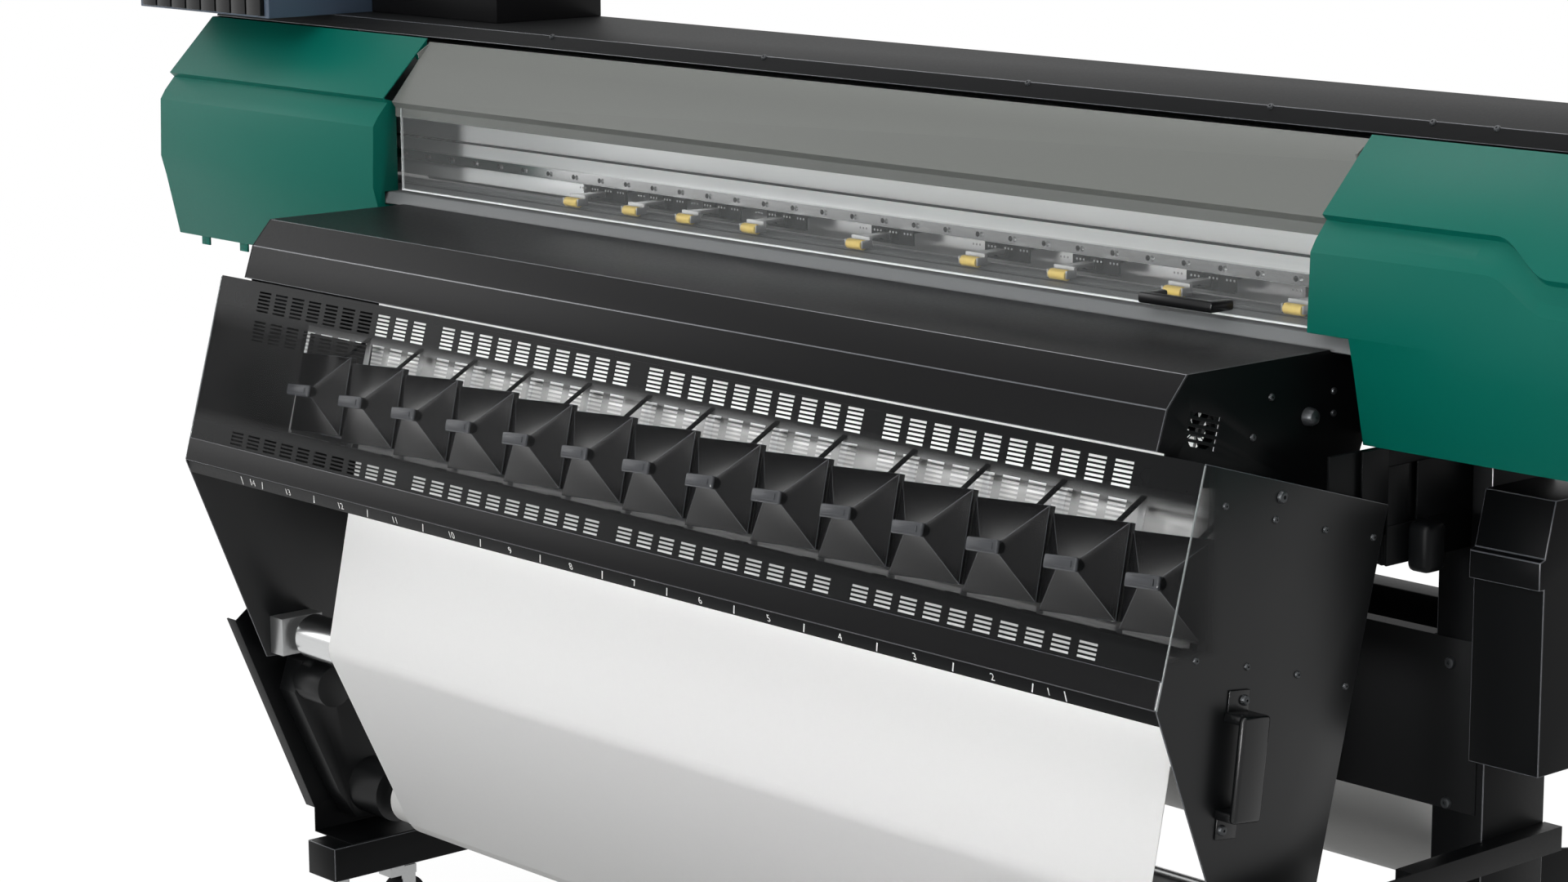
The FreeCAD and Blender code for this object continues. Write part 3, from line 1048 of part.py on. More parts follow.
# ------------------------------------------------------------------ guide roller and web
guide_drum = rod("guide_drum", "X", ("-guide_half", "guide_y", "guide_z"), "guide_round",
                 "2 * guide_half")
guide_hollow = rod("guide_hollow", "X", ("-guide_half + 20", "guide_y", "guide_z"),
                   "guide_round - tube_wall", "2 * (guide_half - 20)")
guide_tube = cut("guide_tube", guide_drum, [guide_hollow])
guide_ends = [rod("guide_end", "X", (start, "guide_y", "guide_z"), "guide_shaft",
                  "unit_x - unit_plate - 4 - guide_half + 10")
              for start in ("-unit_x + unit_plate + 4", "guide_half - 10")]
keep("guide_roller", fuse("guide_roller", [guide_tube] + guide_ends))
guide_block = box("guide_block", ("unit_x - unit_plate - block_wide", "block_front",
                                  "guide_z - block_tall / 2"),
                  ("block_wide", "block_deep", "block_tall"))
guide_bore = rod("guide_bore", "X", ("0", "guide_y", "guide_z"), "guide_shaft + gap_shaft",
                 "unit_x - unit_plate - 3.5")
block = cut("guide_block_bored", guide_block, [guide_bore])
doc.recompute()
group("guide_blocks", [block.Shape, mirrored(block.Shape)])

# The web: off the platen's curve, down behind the hot-air hoods, round the guide roller
# and down to the take-up roll. Its centre line is straight runs joined by arcs.
lean = math.radians(mm("web_lean"))
half_web = mm("web_wall") / 2
guide_axis = Vector(0, mm("guide_y"), mm("guide_z"))
take_axis = Vector(0, mm("take_y"), mm("take_z"))
guide_run = mm("guide_round + gap_fit") + half_web
take_run = mm("take_round + gap_fit") + half_web
# Outer tangent of the two rollers, on their front sides.
between = take_axis.sub(guide_axis)
tangent = math.asin((guide_run - take_run) / between.Length)
heading = math.atan2(between.y, -between.z) - tangent


def front_of(axis, radius, angle):
    """The point of a roller whose web runs down at this angle from vertical."""
    return axis.add(Vector(0, -radius * math.cos(angle), -radius * math.sin(angle)))


touch_high = front_of(guide_axis, guide_run, -lean)
touch_mid = front_of(guide_axis, guide_run, (heading - lean) / 2)
touch_low = front_of(guide_axis, guide_run, heading)
land = front_of(take_axis, take_run, heading)
rise = mm("web_top") - touch_high.z
crest = touch_high.add(Vector(0, rise * math.tan(lean), rise))
# The curved start: a circle through the platen's lip that runs on into the straight run.
shoulder = Vector(0, mm("platen_front") - 9.5, mm("platen_top") - 19)
chord = shoulder.sub(crest)
inward = Vector(0, math.cos(lean), -math.sin(lean))
radius = chord.dot(chord) / (2 * chord.dot(inward))
centre = crest.add(inward * radius)
middle = (shoulder.add(crest)) * 0.5
bend = centre.add(middle.sub(centre).normalize() * radius)
path = Part.Wire([Part.Arc(shoulder, bend, crest).toShape(),
                  Part.LineSegment(crest, touch_high).toShape(),
                  Part.Arc(touch_high, touch_mid, touch_low).toShape(),
                  Part.LineSegment(touch_low, land).toShape()])
strip = path.makeOffset2D(half_web, fill=False, openResult=True)
strip_back = path.makeOffset2D(-half_web, fill=False, openResult=True)
ends = []
for first, second in ((strip.OrderedVertexes[0], strip_back.OrderedVertexes[0]),
                      (strip.OrderedVertexes[-1], strip_back.OrderedVertexes[-1])):
    ends.append(Part.LineSegment(first.Point, second.Point).toShape())
outline = Part.Wire(Part.__sortEdges__(strip.Edges + strip_back.Edges + ends))
web = Part.Face(outline).extrude(Vector(2 * mm("web_half"), 0, 0))
group("media_web", [moved(web, -mm("web_half"))])

# ------------------------------------------------------------------ rolls and their brackets
take_wrap = rod("take_wrap", "X", ("-web_half", "take_y", "take_z"), "take_round", "2 * web_half")
take_core = rod("take_core", "X", ("-core_half", "take_y", "take_z"), "core_round", "2 * core_half")
take_shaft = rod("take_shaft", "X", ("-take_plate - sheet_wall", "take_y", "take_z"), "roll_shaft",
                 "2 * (take_plate + sheet_wall)")
take_solid = fuse("take_solid", [take_wrap, take_core])
take_hollow = rod("take_hollow", "X", ("-core_half + 20", "take_y", "take_z"), "core_round - 4",
                  "2 * (core_half - 20)")
keep("take_up_roll", fuse("take_up_roll", [cut("take_tube", take_solid, [take_hollow]), take_shaft]))

supply_wrap = rod("supply_wrap", "X", ("-web_half", "supply_y", "supply_z"), "supply_round",
                  "2 * web_half")
supply_hollow = rod("supply_hollow", "X", ("-web_half + 20", "supply_y", "supply_z"),
                    "core_round - 4", "2 * (web_half - 20)")
supply_shaft = rod("supply_shaft", "X", ("-leg_x - supply_plate", "supply_y", "supply_z"),
                   "roll_shaft", "2 * (leg_x + supply_plate)")
supply_tube = cut("supply_tube", supply_wrap, [supply_hollow])
keep("supply_roll", fuse("supply_roll", [supply_tube, supply_shaft]))

TAKE_PLATE = [("side_tip_y + 4", "side_foot_z + 72"), ("side_tip_y - 19", "side_foot_z + 55"),
              ("foot_front + 33", "foot_low + foot_tall + 38"),
              ("foot_front + 33", "foot_low + foot_tall"), ("take_y + 90", "foot_low + foot_tall"),
              ("take_y + 90", "side_foot_z + 72")]
take_side = slab("take_side", TAKE_PLATE, "take_plate", "sheet_wall")
take_flange = slab("take_flange", [("side_tip_y - 19", "side_foot_z + 55"),
                                   ("foot_front + 33", "foot_low + foot_tall + 38"),
                                   ("foot_front + 35.2", "foot_low + foot_tall + 38.8"),
                                   ("side_tip_y - 16.8", "side_foot_z + 55.9")],
                   "take_plate", "24")
take_foot = box("take_foot", ("leg_x - foot_wide / 2", "foot_front + 33", "foot_low + foot_tall"),
                ("take_plate - leg_x + foot_wide / 2", "take_y - foot_front + 57", "sheet_wall"))
take_stay = box("take_stay", ("leg_x + post_wide / 2", "take_y + 60", "side_foot_z + 42"),
                ("take_plate - leg_x - post_wide / 2 + sheet_wall", "post_front + 60 - take_y",
                 "30"))
take_bracket = fuse("take_bracket", [take_side, take_flange, take_foot, take_stay])
take_hole = rod("take_hole", "X", ("take_plate - 1", "take_y", "take_z"), "roll_shaft + gap_shaft",
                "sheet_wall + 2")
take_ready = cut("take_bracket_bored", take_bracket, [take_hole])
SUPPLY_ARM = [("frame_back", "supply_z - 55"), ("supply_y - 20", "supply_z - 30"),
              ("supply_y + 30", "supply_z - 30"), ("supply_y + 30", "supply_z + 30"),
              ("supply_y - 20", "supply_z + 30"), ("frame_back", "supply_z + 55")]
supply_arm = slab("supply_arm", SUPPLY_ARM, "leg_x", "supply_plate")
supply_bore = rod("supply_bore", "X", ("leg_x - 1", "supply_y", "supply_z"),
                  "roll_shaft + gap_shaft", "supply_plate + 2")
supply_ready = cut("supply_arm_bored", supply_arm, [supply_bore])
doc.recompute()
group("roll_brackets", [take_ready.Shape, mirrored(take_ready.Shape), supply_ready.Shape,
                        mirrored(supply_ready.Shape)])

# Take-up drive on the left plate: a cast arm with a motor drum above and the chuck drum below.
motor_y = "(take_y - motor_back)"
motor_z = "(take_z + motor_up)"
drive_arm = slab("drive_arm", [(motor_y + " - motor_round", motor_z + " - motor_round / 2"),
                               (motor_y + " - motor_round / 2", motor_z + " + motor_round"),
                               (motor_y + " + motor_round", motor_z + " + motor_round"),
                               ("take_y + chuck_round / 4", "take_z + chuck_round"),
                               ("take_y + chuck_round", "take_z - chuck_round / 2"),
                               ("take_y + chuck_round / 2", "take_z - 1.15 * chuck_round"),
                               ("take_y - 0.7 * chuck_round", "take_z - 1.1 * chuck_round"),
                               ("take_y - 1.4 * chuck_round", "take_z")],
                 "-take_plate + gap_fit", "drive_wide")
motor_drum = rod("motor_drum", "X", ("drive_wide - take_plate", motor_y, motor_z), "motor_round",
                 "motor_long")
chuck_drum = rod("chuck_drum", "X", ("drive_wide - take_plate", "take_y", "take_z"), "chuck_round",
                 "chuck_long")
drive_bore = rod("drive_bore", "X", ("-take_plate - 1", "take_y", "take_z"),
                 "roll_shaft + gap_shaft", "2 * (drive_wide + chuck_long)")
drive_body = fuse("drive_body", [drive_arm, motor_drum, chuck_drum])
keep("take_up_drive", cut("take_up_drive", drive_body, [drive_bore]))

# ------------------------------------------------------------------ power box and lever
BOX_OUTLINE = [("box_front", "box_low"), ("box_front", "box_band"), ("box_front - 9", "box_band"),
               ("box_front - 9", "box_band + 33"), ("box_front", "box_band + 36"),
               ("box_front + 17", "box_high"), ("box_back", "box_high"), ("box_back", "box_low")]
BOX_INSIDE = [("box_front + sheet_wall", "box_low + sheet_wall"),
              ("box_front + sheet_wall", "box_band + 36"),
              ("box_front + 17 + sheet_wall", "box_high - sheet_wall"),
              ("box_back - sheet_wall", "box_high - sheet_wall"),
              ("box_back - sheet_wall", "box_low + sheet_wall")]
box_solid = slab("power_box_solid", BOX_OUTLINE, "leg_x + post_wide / 2", "box_wide")
box_inside = slab("power_box_inside", BOX_INSIDE, "leg_x + post_wide / 2 + sheet_wall",
                  "box_wide - 2 * sheet_wall")
keep("power_box", cut("power_box", box_solid, [box_inside]))

hub = rod("lever_hub", "X", ("end_left - lever_wide - 1", "lever_y", "lever_z"), "lever_pin + 8",
          "lever_wide")
lever_arm = box("lever_arm", ("end_left - lever_wide + 1", "lever_y - lever_long", "lever_z - 6"),
                ("lever_wide - 4", "lever_long", "12"))
lever_bore = rod("lever_bore", "X", ("end_left - 3 * lever_wide", "lever_y", "lever_z"),
                 "lever_pin + gap_shaft", "4 * lever_wide")
keep("loading_lever", cut("loading_lever", fuse("lever_solid", [hub, lever_arm]), [lever_bore]))

# ------------------------------------------------------------------ bolts and knobs
head = doc.addObject("Part::Prism", "bolt_head")
head.Polygon = 6
bind(head, Circumradius="bolt_round", Height="bolt_head")
doc.recompute()
bolts = []
for side in (-1, 1):
    for height in ("panel_low + 8", "panel_high - 30"):
        turned = head.Shape.copy()
        turned.rotate(Vector(), Vector(1, 0, 0), 90)
        bolts.append(moved(turned, side * (mm("leg_x") - 14), mm("post_front - sheet_wall"),
                           mm(height)))
    # Two rows of small screws hold each side plate of the hot-air unit.
    for count in range(4):
        for row in ("high", "low"):
            back = count * mm("screw_step")
            place = Vector(side * mm("unit_x"), mm("screw_%s_y" % row) + back,
                           mm("screw_%s_z" % row) - back * math.tan(math.radians(mm("unit_tilt"))))
            bolts.append(Part.makeCylinder(mm("screw_round"), mm("screw_head"), place,
                                           Vector(side, 0, 0)))
    bolts.append(Part.makeCylinder(mm("knob_round"), mm("knob_long"),
                                   Vector(side * mm("hood_x + sheet_wall"), mm("knob_y"), mm("knob_z")),
                                   Vector(side, 0, 0)))
group("fasteners", bolts)

# ------------------------------------------------------------------ check and write
doc.recompute()
for thing in doc.Objects:
    if "Invalid" in thing.State or "Error" in thing.State:
        raise RuntimeError("failed object: %s %s" % (thing.Label, thing.State))
os.makedirs("parts", exist_ok=True)
total = FreeCAD.BoundBox()
for label, piece in parts.items():
    shape = piece.Shape
    if shape.isNull() or not shape.isValid() or not shape.Solids:
        raise RuntimeError("bad shape: " + label)
    shape.exportStep("parts/%s.step" % label)
    total.add(shape.BoundBox)
print(len(parts), "pieces, box", [round(value, 2) for value in (
    total.XMin, total.XMax, total.YMin, total.YMax, total.ZMin, total.ZMax)])
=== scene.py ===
# %% [markdown]
# # A wide-format roll printer, piece by piece
# The printer stands on two legs. A long body carries the print bay behind a clear window. Below it hang a
# drying hood and a louvred hot-air unit, and the printed web runs down behind them to a take-up roll.
# The engineering model fixes every size. This lesson loads it as a frame, gives each carried-over piece
# its finish, and replaces the plain ones with finer meshes in the same places.

# %% Load the frame
import json
import math

import bmesh
import bpy
from mathutils import Matrix, Quaternion, Vector


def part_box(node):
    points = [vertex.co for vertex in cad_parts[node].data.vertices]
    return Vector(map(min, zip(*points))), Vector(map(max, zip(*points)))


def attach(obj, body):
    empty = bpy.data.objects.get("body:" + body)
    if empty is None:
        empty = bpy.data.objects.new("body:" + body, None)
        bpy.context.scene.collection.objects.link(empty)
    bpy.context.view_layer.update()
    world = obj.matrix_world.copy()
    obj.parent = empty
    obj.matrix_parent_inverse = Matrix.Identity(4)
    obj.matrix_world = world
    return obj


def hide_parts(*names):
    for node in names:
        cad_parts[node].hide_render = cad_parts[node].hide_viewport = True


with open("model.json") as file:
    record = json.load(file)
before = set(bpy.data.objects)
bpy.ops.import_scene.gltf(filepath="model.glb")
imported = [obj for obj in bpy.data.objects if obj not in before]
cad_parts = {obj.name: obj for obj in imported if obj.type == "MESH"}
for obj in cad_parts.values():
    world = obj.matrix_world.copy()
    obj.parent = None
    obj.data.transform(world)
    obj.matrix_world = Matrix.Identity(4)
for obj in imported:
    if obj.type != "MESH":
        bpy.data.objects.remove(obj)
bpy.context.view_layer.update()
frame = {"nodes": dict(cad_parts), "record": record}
cad_nodes = frame["nodes"]
scene = bpy.context.scene
MM = 0.001

# %% [markdown]
# ## Camera
# The printer is seen from its front right, a little above the covers, with a long lens that keeps its lines
# nearly parallel. A direction vector is turned into a camera rotation with `to_track_quat`, which points the
# camera's own -Z along it and keeps its Y up.

# %% Camera
camera_data = bpy.data.cameras.new("studio_camera")
camera_data.lens = 86.49
camera_data.sensor_width = 36.0
camera_data.clip_start = 0.1
camera_data.clip_end = 60.0
camera = bpy.data.objects.new("studio_camera", camera_data)
scene.collection.objects.link(camera)
camera.location = (3.621, -3.382, 1.829)
camera.rotation_mode = "QUATERNION"
VIEW_YAW, VIEW_PITCH, VIEW_ROLL = 0.8445, -0.1918, -0.0051
view = Vector((-math.sin(VIEW_YAW) * math.cos(VIEW_PITCH), math.cos(VIEW_YAW) * math.cos(VIEW_PITCH),
               math.sin(VIEW_PITCH)))
camera.rotation_quaternion = view.to_track_quat("-Z", "Y") @ Quaternion((0, 0, 1), VIEW_ROLL)
scene.camera = camera

# %% [markdown]
# ## Colour and node helpers
# Paint charts give sRGB hex values, but shaders work in linear light, so one function converts them.
# A second one adds any node, fills in its settings and links its sockets, which keeps each material short.


# %% Colour and node helpers
def colour(code, alpha=1.0):
    """An sRGB hex colour as linear RGBA."""
    channels = [int(code[place:place + 2], 16) / 255 for place in (1, 3, 5)]
    linear = [c / 12.92 if c <= 0.04045 else ((c + 0.055) / 1.055) ** 2.4 for c in channels]
    return (*linear, alpha)


def add(tree, kind, settings=None, links=None):
    """Add one node, set its properties and sockets, and link other nodes' sockets into it."""
    node = tree.nodes.new(kind)
    for name, value in (settings or {}).items():
        if isinstance(name, int) or name in node.inputs:
            node.inputs[name].default_value = value
        else:
            setattr(node, name, value)
    for name, socket in (links or {}).items():
        tree.links.new(socket, node.inputs[name])
    return node


def finish_of(name, base, roughness, metallic=0.0, ior=1.5, grain=None, variation=0.04, **more):
    """A surface whose tone and height vary with a noise of a real grain size.

    grain is (size in mm, height in mm, stretch along X, Y, Z).
    """
    material = bpy.data.materials.new(name)
    material.use_nodes = True
    tree = material.node_tree
    tree.nodes.clear()
    place = add(tree, "ShaderNodeTexCoord")
    size, height, stretch = grain or (2.0, 0.01, (1, 1, 1))
    mapped = add(tree, "ShaderNodeMapping", {"Scale": stretch}, {"Vector": place.outputs["Object"]})
    noise = add(tree, "ShaderNodeTexNoise", {"Scale": 1 / (size * MM), "Detail": 3.0},
                {"Vector": mapped.outputs["Vector"]})
    low = tuple(channel * (1 - variation) for channel in base[:3]) + (1.0,)
    high = tuple(min(1.0, channel * (1 + variation)) for channel in base[:3]) + (1.0,)
    tone = add(tree, "ShaderNodeMix", {"data_type": "RGBA"})
    tone.inputs[6].default_value = low
    tone.inputs[7].default_value = high
    tree.links.new(noise.outputs["Fac"], tone.inputs["Factor"])
    bump = add(tree, "ShaderNodeBump", {"Strength": 1.0, "Distance": height * MM},
               {"Height": noise.outputs["Fac"]})
    wear = add(tree, "ShaderNodeMapRange", {"To Min": roughness * 0.9, "To Max": min(1, roughness * 1.1)},
               {"Value": noise.outputs["Fac"]})
    shader = add(tree, "ShaderNodeBsdfPrincipled", {"Metallic": metallic, "IOR": ior, **more},
                 {"Base Color": tone.outputs[2], "Roughness": wear.outputs["Result"],
                  "Normal": bump.outputs["Normal"]})
    add(tree, "ShaderNodeOutputMaterial", None, {"Surface": shader.outputs["BSDF"]})
    return material


# %% [markdown]
# ## Finishes
# Most of the printer is folded sheet steel with a black powder coat: a faint orange peel and a wide, soft
# highlight. The end covers are moulded ABS painted green, the beam is extruded aluminium with fine draw
# lines along its length, and the rollers in the bay are amber polyurethane. Each grain size below is real.

# %% Finishes
# Powder coat: its orange peel is about 1.5 mm across, drawn at 5 mm so that it shows. The pigment is
# rough carbon black with little binder on top, so the specular level is low and the black stays deep.
black_coat = finish_of("powder_coat_black", colour("#08090a"), 0.42, grain=(5.0, 0.01, (1, 1, 1)),
                       **{"Specular IOR Level": 0.09})
hood_coat = finish_of("powder_coat_hood", colour("#0d0d0e"), 0.4, grain=(5.0, 0.008, (1, 1, 1)),
                      **{"Specular IOR Level": 0.1})
dark_coat = finish_of("powder_coat_textured", colour("#08090a"), 0.6, grain=(3.0, 0.02, (1, 1, 1)),
                      **{"Specular IOR Level": 0.12})
# Satin enamel: flat and even, so the panel reads as one mid grey.
grey_enamel = finish_of("satin_enamel_grey", colour("#5f615e"), 0.5, grain=(4.0, 0.004, (1, 1, 1)),
                        variation=0.02, **{"Specular IOR Level": 0.3})
# Painted plastic: smoother than powder coat, so the slope shows a broad sheen.
green_paint = finish_of("painted_abs_green", colour("#00564a"), 0.42, grain=(4.0, 0.004, (1, 1, 1)),
                        variation=0.02, **{"Specular IOR Level": 0.16})
# Hard anodising: a dull mid grey that hides paper dust.
platen_coat = finish_of("hard_coat_grey", colour("#5b5d5e"), 0.55, grain=(3.0, 0.01, (1, 1, 1)))
# Blasted and anodised: the tiny pits scatter light, so it is as much matt as metal.
drawn_aluminium = finish_of("anodised_aluminium", colour("#e4e6e6"), 0.32, metallic=0.35,
                            grain=(4.0, 0.004, (0.02, 1, 1)))
# Ground bar: mirror bright, with its fine lines drawn out along X.
ground_steel = finish_of("ground_steel", colour("#c9caca"), 0.2, metallic=1.0,
                         grain=(3.0, 0.002, (0.05, 1, 1)))
# Zinc plate: brighter than paint, softer than ground steel.
zinc_steel = finish_of("zinc_plated_steel", colour("#a5a6a6"), 0.35, metallic=0.9,
                       grain=(5.0, 0.003, (1, 1, 1)))
# Spangled zinc scatters light in every direction, so it stays bright deep inside the unit.
white_zinc = finish_of("hot_dip_zinc", colour("#dcdddd"), 0.5, metallic=0.2, grain=(9.0, 0.002, (1, 1, 1)))
# A fold's outer radius gets a pale, glossy paint: a painted highlight that draws the thin bright line along
# it.
fold_highlight_paint = finish_of("painted_fold_highlight", colour("#4c4e52"), 0.24, grain=(4.0, 0.001, (1, 1, 1)),
                      **{"Specular IOR Level": 0.6})
# Blackened steel: dark, but still a metal on every screw head.
dark_steel = finish_of("blackened_steel", colour("#37393b"), 0.38, metallic=0.6,
                       grain=(3.0, 0.004, (1, 1, 1)))
# Cast polyurethane: a warm amber against the black holders.
amber_rubber = finish_of("cast_polyurethane_amber", colour("#d2b75e"), 0.42, grain=(3.0, 0.006, (1, 1, 1)))
# Moulded rubber: hardly any highlight.
black_rubber = finish_of("moulded_rubber_black", colour("#131315"), 0.75, grain=(3.0, 0.01, (1, 1, 1)),
                         **{"Specular IOR Level": 0.2})
# Polished ABS: the black with the clearest highlight, on grips and packs.
black_abs = finish_of("moulded_abs_black", colour("#0a0b0c"), 0.26, grain=(4.0, 0.003, (1, 1, 1)),
                      **{"Specular IOR Level": 0.3})
# Hood ABS: deep black faces, so that the bosses' painted highlight stands out.
hood_abs = finish_of("moulded_abs_hood", colour("#050506"), 0.24, grain=(4.0, 0.002, (1, 1, 1)),
                     **{"Specular IOR Level": 0.3})
# Blue-grey ABS: the ink tray is the one cool surface.
slate_abs = finish_of("moulded_abs_slate", colour("#3d4a5a"), 0.4, grain=(3.0, 0.005, (1, 1, 1)))
# Painted casting: the take-up drive keeps a coarse grain.
cast_black = finish_of("cast_alloy_black", colour("#0f1011"), 0.4, grain=(3.0, 0.02, (1, 1, 1)),
                       **{"Specular IOR Level": 0.25})
# Screen ink: flat white with no sheen.
white_print = finish_of("white_screen_ink", colour("#efefed"), 0.5, grain=(3.0, 0.001, (1, 1, 1)),
                        variation=0.02)
# A cut and polished edge of acrylic gathers light from the whole sheet; here it is a pale grey strip, a
# painted highlight.
edge_glow_paint = finish_of("painted_acrylic_edge_glow", colour("#7d8282"), 0.15,
                          grain=(6.0, 0.001, (1, 1, 1)),
                          variation=0.02)


def paper_finish(name, base, through):
    """Coated paper: a matt face that also lets some light through from behind."""
    material = finish_of(name, base, 0.6, grain=(8.0, 0.003, (1, 1, 1)), variation=0.01)
    tree = material.node_tree
    face = next(node for node in tree.nodes if node.type == "BSDF_PRINCIPLED")
    end = next(node for node in tree.nodes if node.type == "OUTPUT_MATERIAL")
    glow = add(tree, "ShaderNodeBsdfTranslucent", {"Color": base})
    both = add(tree, "ShaderNodeMixShader", {0: through}, {1: face.outputs["BSDF"], 2: glow.outputs["BSDF"]})
    tree.links.new(both.outputs["Shader"], end.inputs["Surface"])
    return material


coated_paper = paper_finish("coated_paper_white", colour("#e9e9e8"), 0.04)
roll_paper = finish_of("wound_paper_white", colour("#e6e6e4"), 0.6, grain=(8.0, 0.003, (1, 1, 1)),
                       variation=0.01)
print("made", len(bpy.data.materials), "finishes")

# %% [markdown]
# ## Clear sheets
# The window is clear cast acrylic: almost nothing shows but its polished edge, which gathers light; that edge
# is a dense, pale band of the sheet, a painted highlight. The louvred front is a smoked sheet that is dense
# along its top and bottom and thins out in the middle, where the hoods show through. A Map Range on the
# object's own height drives the alpha, so the fade stays put.


# %% Clear sheets
def sheet_with_fade(name, base, roughness, fades, sheen=0.3):
    """A clear sheet. fades: (axis, from, to, alpha at from, alpha at to), and the densest wins."""
    material = finish_of(name, base, roughness, grain=(60.0, 0.001, (1, 1, 1)), variation=0.02,
                         **{"Specular IOR Level": sheen})
    tree = material.node_tree
    shader = next(node for node in tree.nodes if node.type == "BSDF_PRINCIPLED")
    place = add(tree, "ShaderNodeTexCoord")
    axes = add(tree, "ShaderNodeSeparateXYZ", None, {"Vector": place.outputs["Object"]})
    density = None
    for axis, start, stop, at_start, at_stop in fades:
        fade = add(tree, "ShaderNodeMapRange",
                   {"interpolation_type": "SMOOTHSTEP", "From Min": start * MM, "From Max": stop * MM,
                    "To Min": at_start, "To Max": at_stop}, {"Value": axes.outputs[axis]})
        if density is None:
            density = fade.outputs["Result"]
        else:
            density = add(tree, "ShaderNodeMath", {"operation": "MAXIMUM"},
                          {0: density, 1: fade.outputs["Result"]}).outputs["Value"]
    tree.links.new(density, shader.inputs["Alpha"])
    return material


# The hot-air unit leans back from its lower front corner, given here in mm.
UNIT_TILT = math.radians(15.5)
UNIT_CORNER = Vector((0, -478, 766))


def unit_height(up_slope):
    """Height above the floor of a point that lies up the unit's sloping front."""
    return UNIT_CORNER.z + up_slope * math.cos(UNIT_TILT)


SMOKED_CLEAR, WINDOW_CLEAR, SIDE_CLEAR = 0.16, 0.04, 0.3
# Dense above and below the hoods.
smoked_sheet = sheet_with_fade("smoked_acrylic", colour("#08090a"), 0.28,
                               [("Z", unit_height(196), unit_height(240), SMOKED_CLEAR, 0.97),
                                ("Z", unit_height(62), unit_height(84), 0.93, SMOKED_CLEAR)], 0.1)
# Dense and pale along its lower and left edges, a painted edge highlight, and clear again within a
# millimetre.
clear_window = sheet_with_fade("cast_acrylic_clear", colour("#dfe3e3"), 0.06,
                               [("Z", 1131.5, 1132.5, 0.9, WINDOW_CLEAR),
                                ("X", -922, -921, 0.6, WINDOW_CLEAR)], 0.08)
# Clear only along the right side's front edge, and dense again near its foot and its top.
side_sheet = sheet_with_fade("side_sheet_clear_edge", colour("#0e0f10"), 0.36,
                             [("Y", -452, -372, SIDE_CLEAR, 1.0), ("Z", 812, 842, 1.0, SIDE_CLEAR),
                              ("X", 0, 100, 1.0, SIDE_CLEAR), ("Z", 1000, 1020, SIDE_CLEAR, 0.8)])
print("made the smoked, clear and side sheets")

# %% [markdown]
# ## Softened folds
# A folded sheet has a small radius at every bend, and that radius is what draws the thin bright lines along
# a machine's edges. On some pieces the radius also gets a pale, glossy paint, a painted highlight. The
# engineering mesh is loose triangles, so a copy is merged, its flat faces are dissolved into one, and only
# the real edges are bevelled. The copy then stands in for the plain piece.


# %% Softened folds
bodies = frame["record"]["behaviour"]["bodies"]


def body_of(node):
    """The body that a carried-over piece moves with."""
    return next(body for body, nodes in bodies.items() if node in nodes)


def settle(mesh, name, finishes, node, replaced=()):
    """Turn a bmesh into a piece that rides with a node's body."""
    for face in mesh.faces:
        face.smooth = True
    for edge in mesh.edges:
        edge.smooth = edge.calc_face_angle(0) < math.radians(32)
    data = bpy.data.meshes.new(name)
    mesh.to_mesh(data)
    mesh.free()
    for finish in finishes:
        data.materials.append(finish)
    piece = bpy.data.objects.new(name, data)
    scene.collection.objects.link(piece)
    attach(piece, body_of(node))
    if replaced:
        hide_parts(*replaced)
    return piece


# The pieces whose folds get the painted highlight.
FOLD_HIGHLIGHT_NODES = ("dryer_hood", "dryer_ends", "fan_box_sides", "front_rail", "hot_air_hoods", "top_cover",
             "power_box", "stand_legs")


def soften(node, finish, width=0.8, segments=2, angle=20, reshape=None):
    """A merged, bevelled copy of a carried-over piece, in its place."""
    mesh = bmesh.new()
    mesh.from_mesh(cad_nodes[node].data)
    bmesh.ops.remove_doubles(mesh, verts=mesh.verts, dist=0.003 * MM)
    bmesh.ops.dissolve_limit(mesh, angle_limit=math.radians(0.5), verts=mesh.verts, edges=mesh.edges)
    if reshape:
        reshape(mesh)
    folds = [edge for edge in mesh.edges
             if len(edge.link_faces) == 2 and edge.calc_face_angle(0) > math.radians(angle)]
    radii = bmesh.ops.bevel(mesh, geom=folds, offset=width * MM, offset_type="OFFSET", segments=segments,
                            profile=0.5, affect="EDGES", clamp_overlap=True, material=-1)["faces"]
    # On these pieces the bevel's faces take the pale, glossy paint: a painted fold highlight.
    if node in FOLD_HIGHLIGHT_NODES:
        for face in radii:
            face.material_index = 1
    return settle(mesh, node + "_softened", [finish, fold_highlight_paint] if node in FOLD_HIGHLIGHT_NODES else [finish], node,
                  [node])


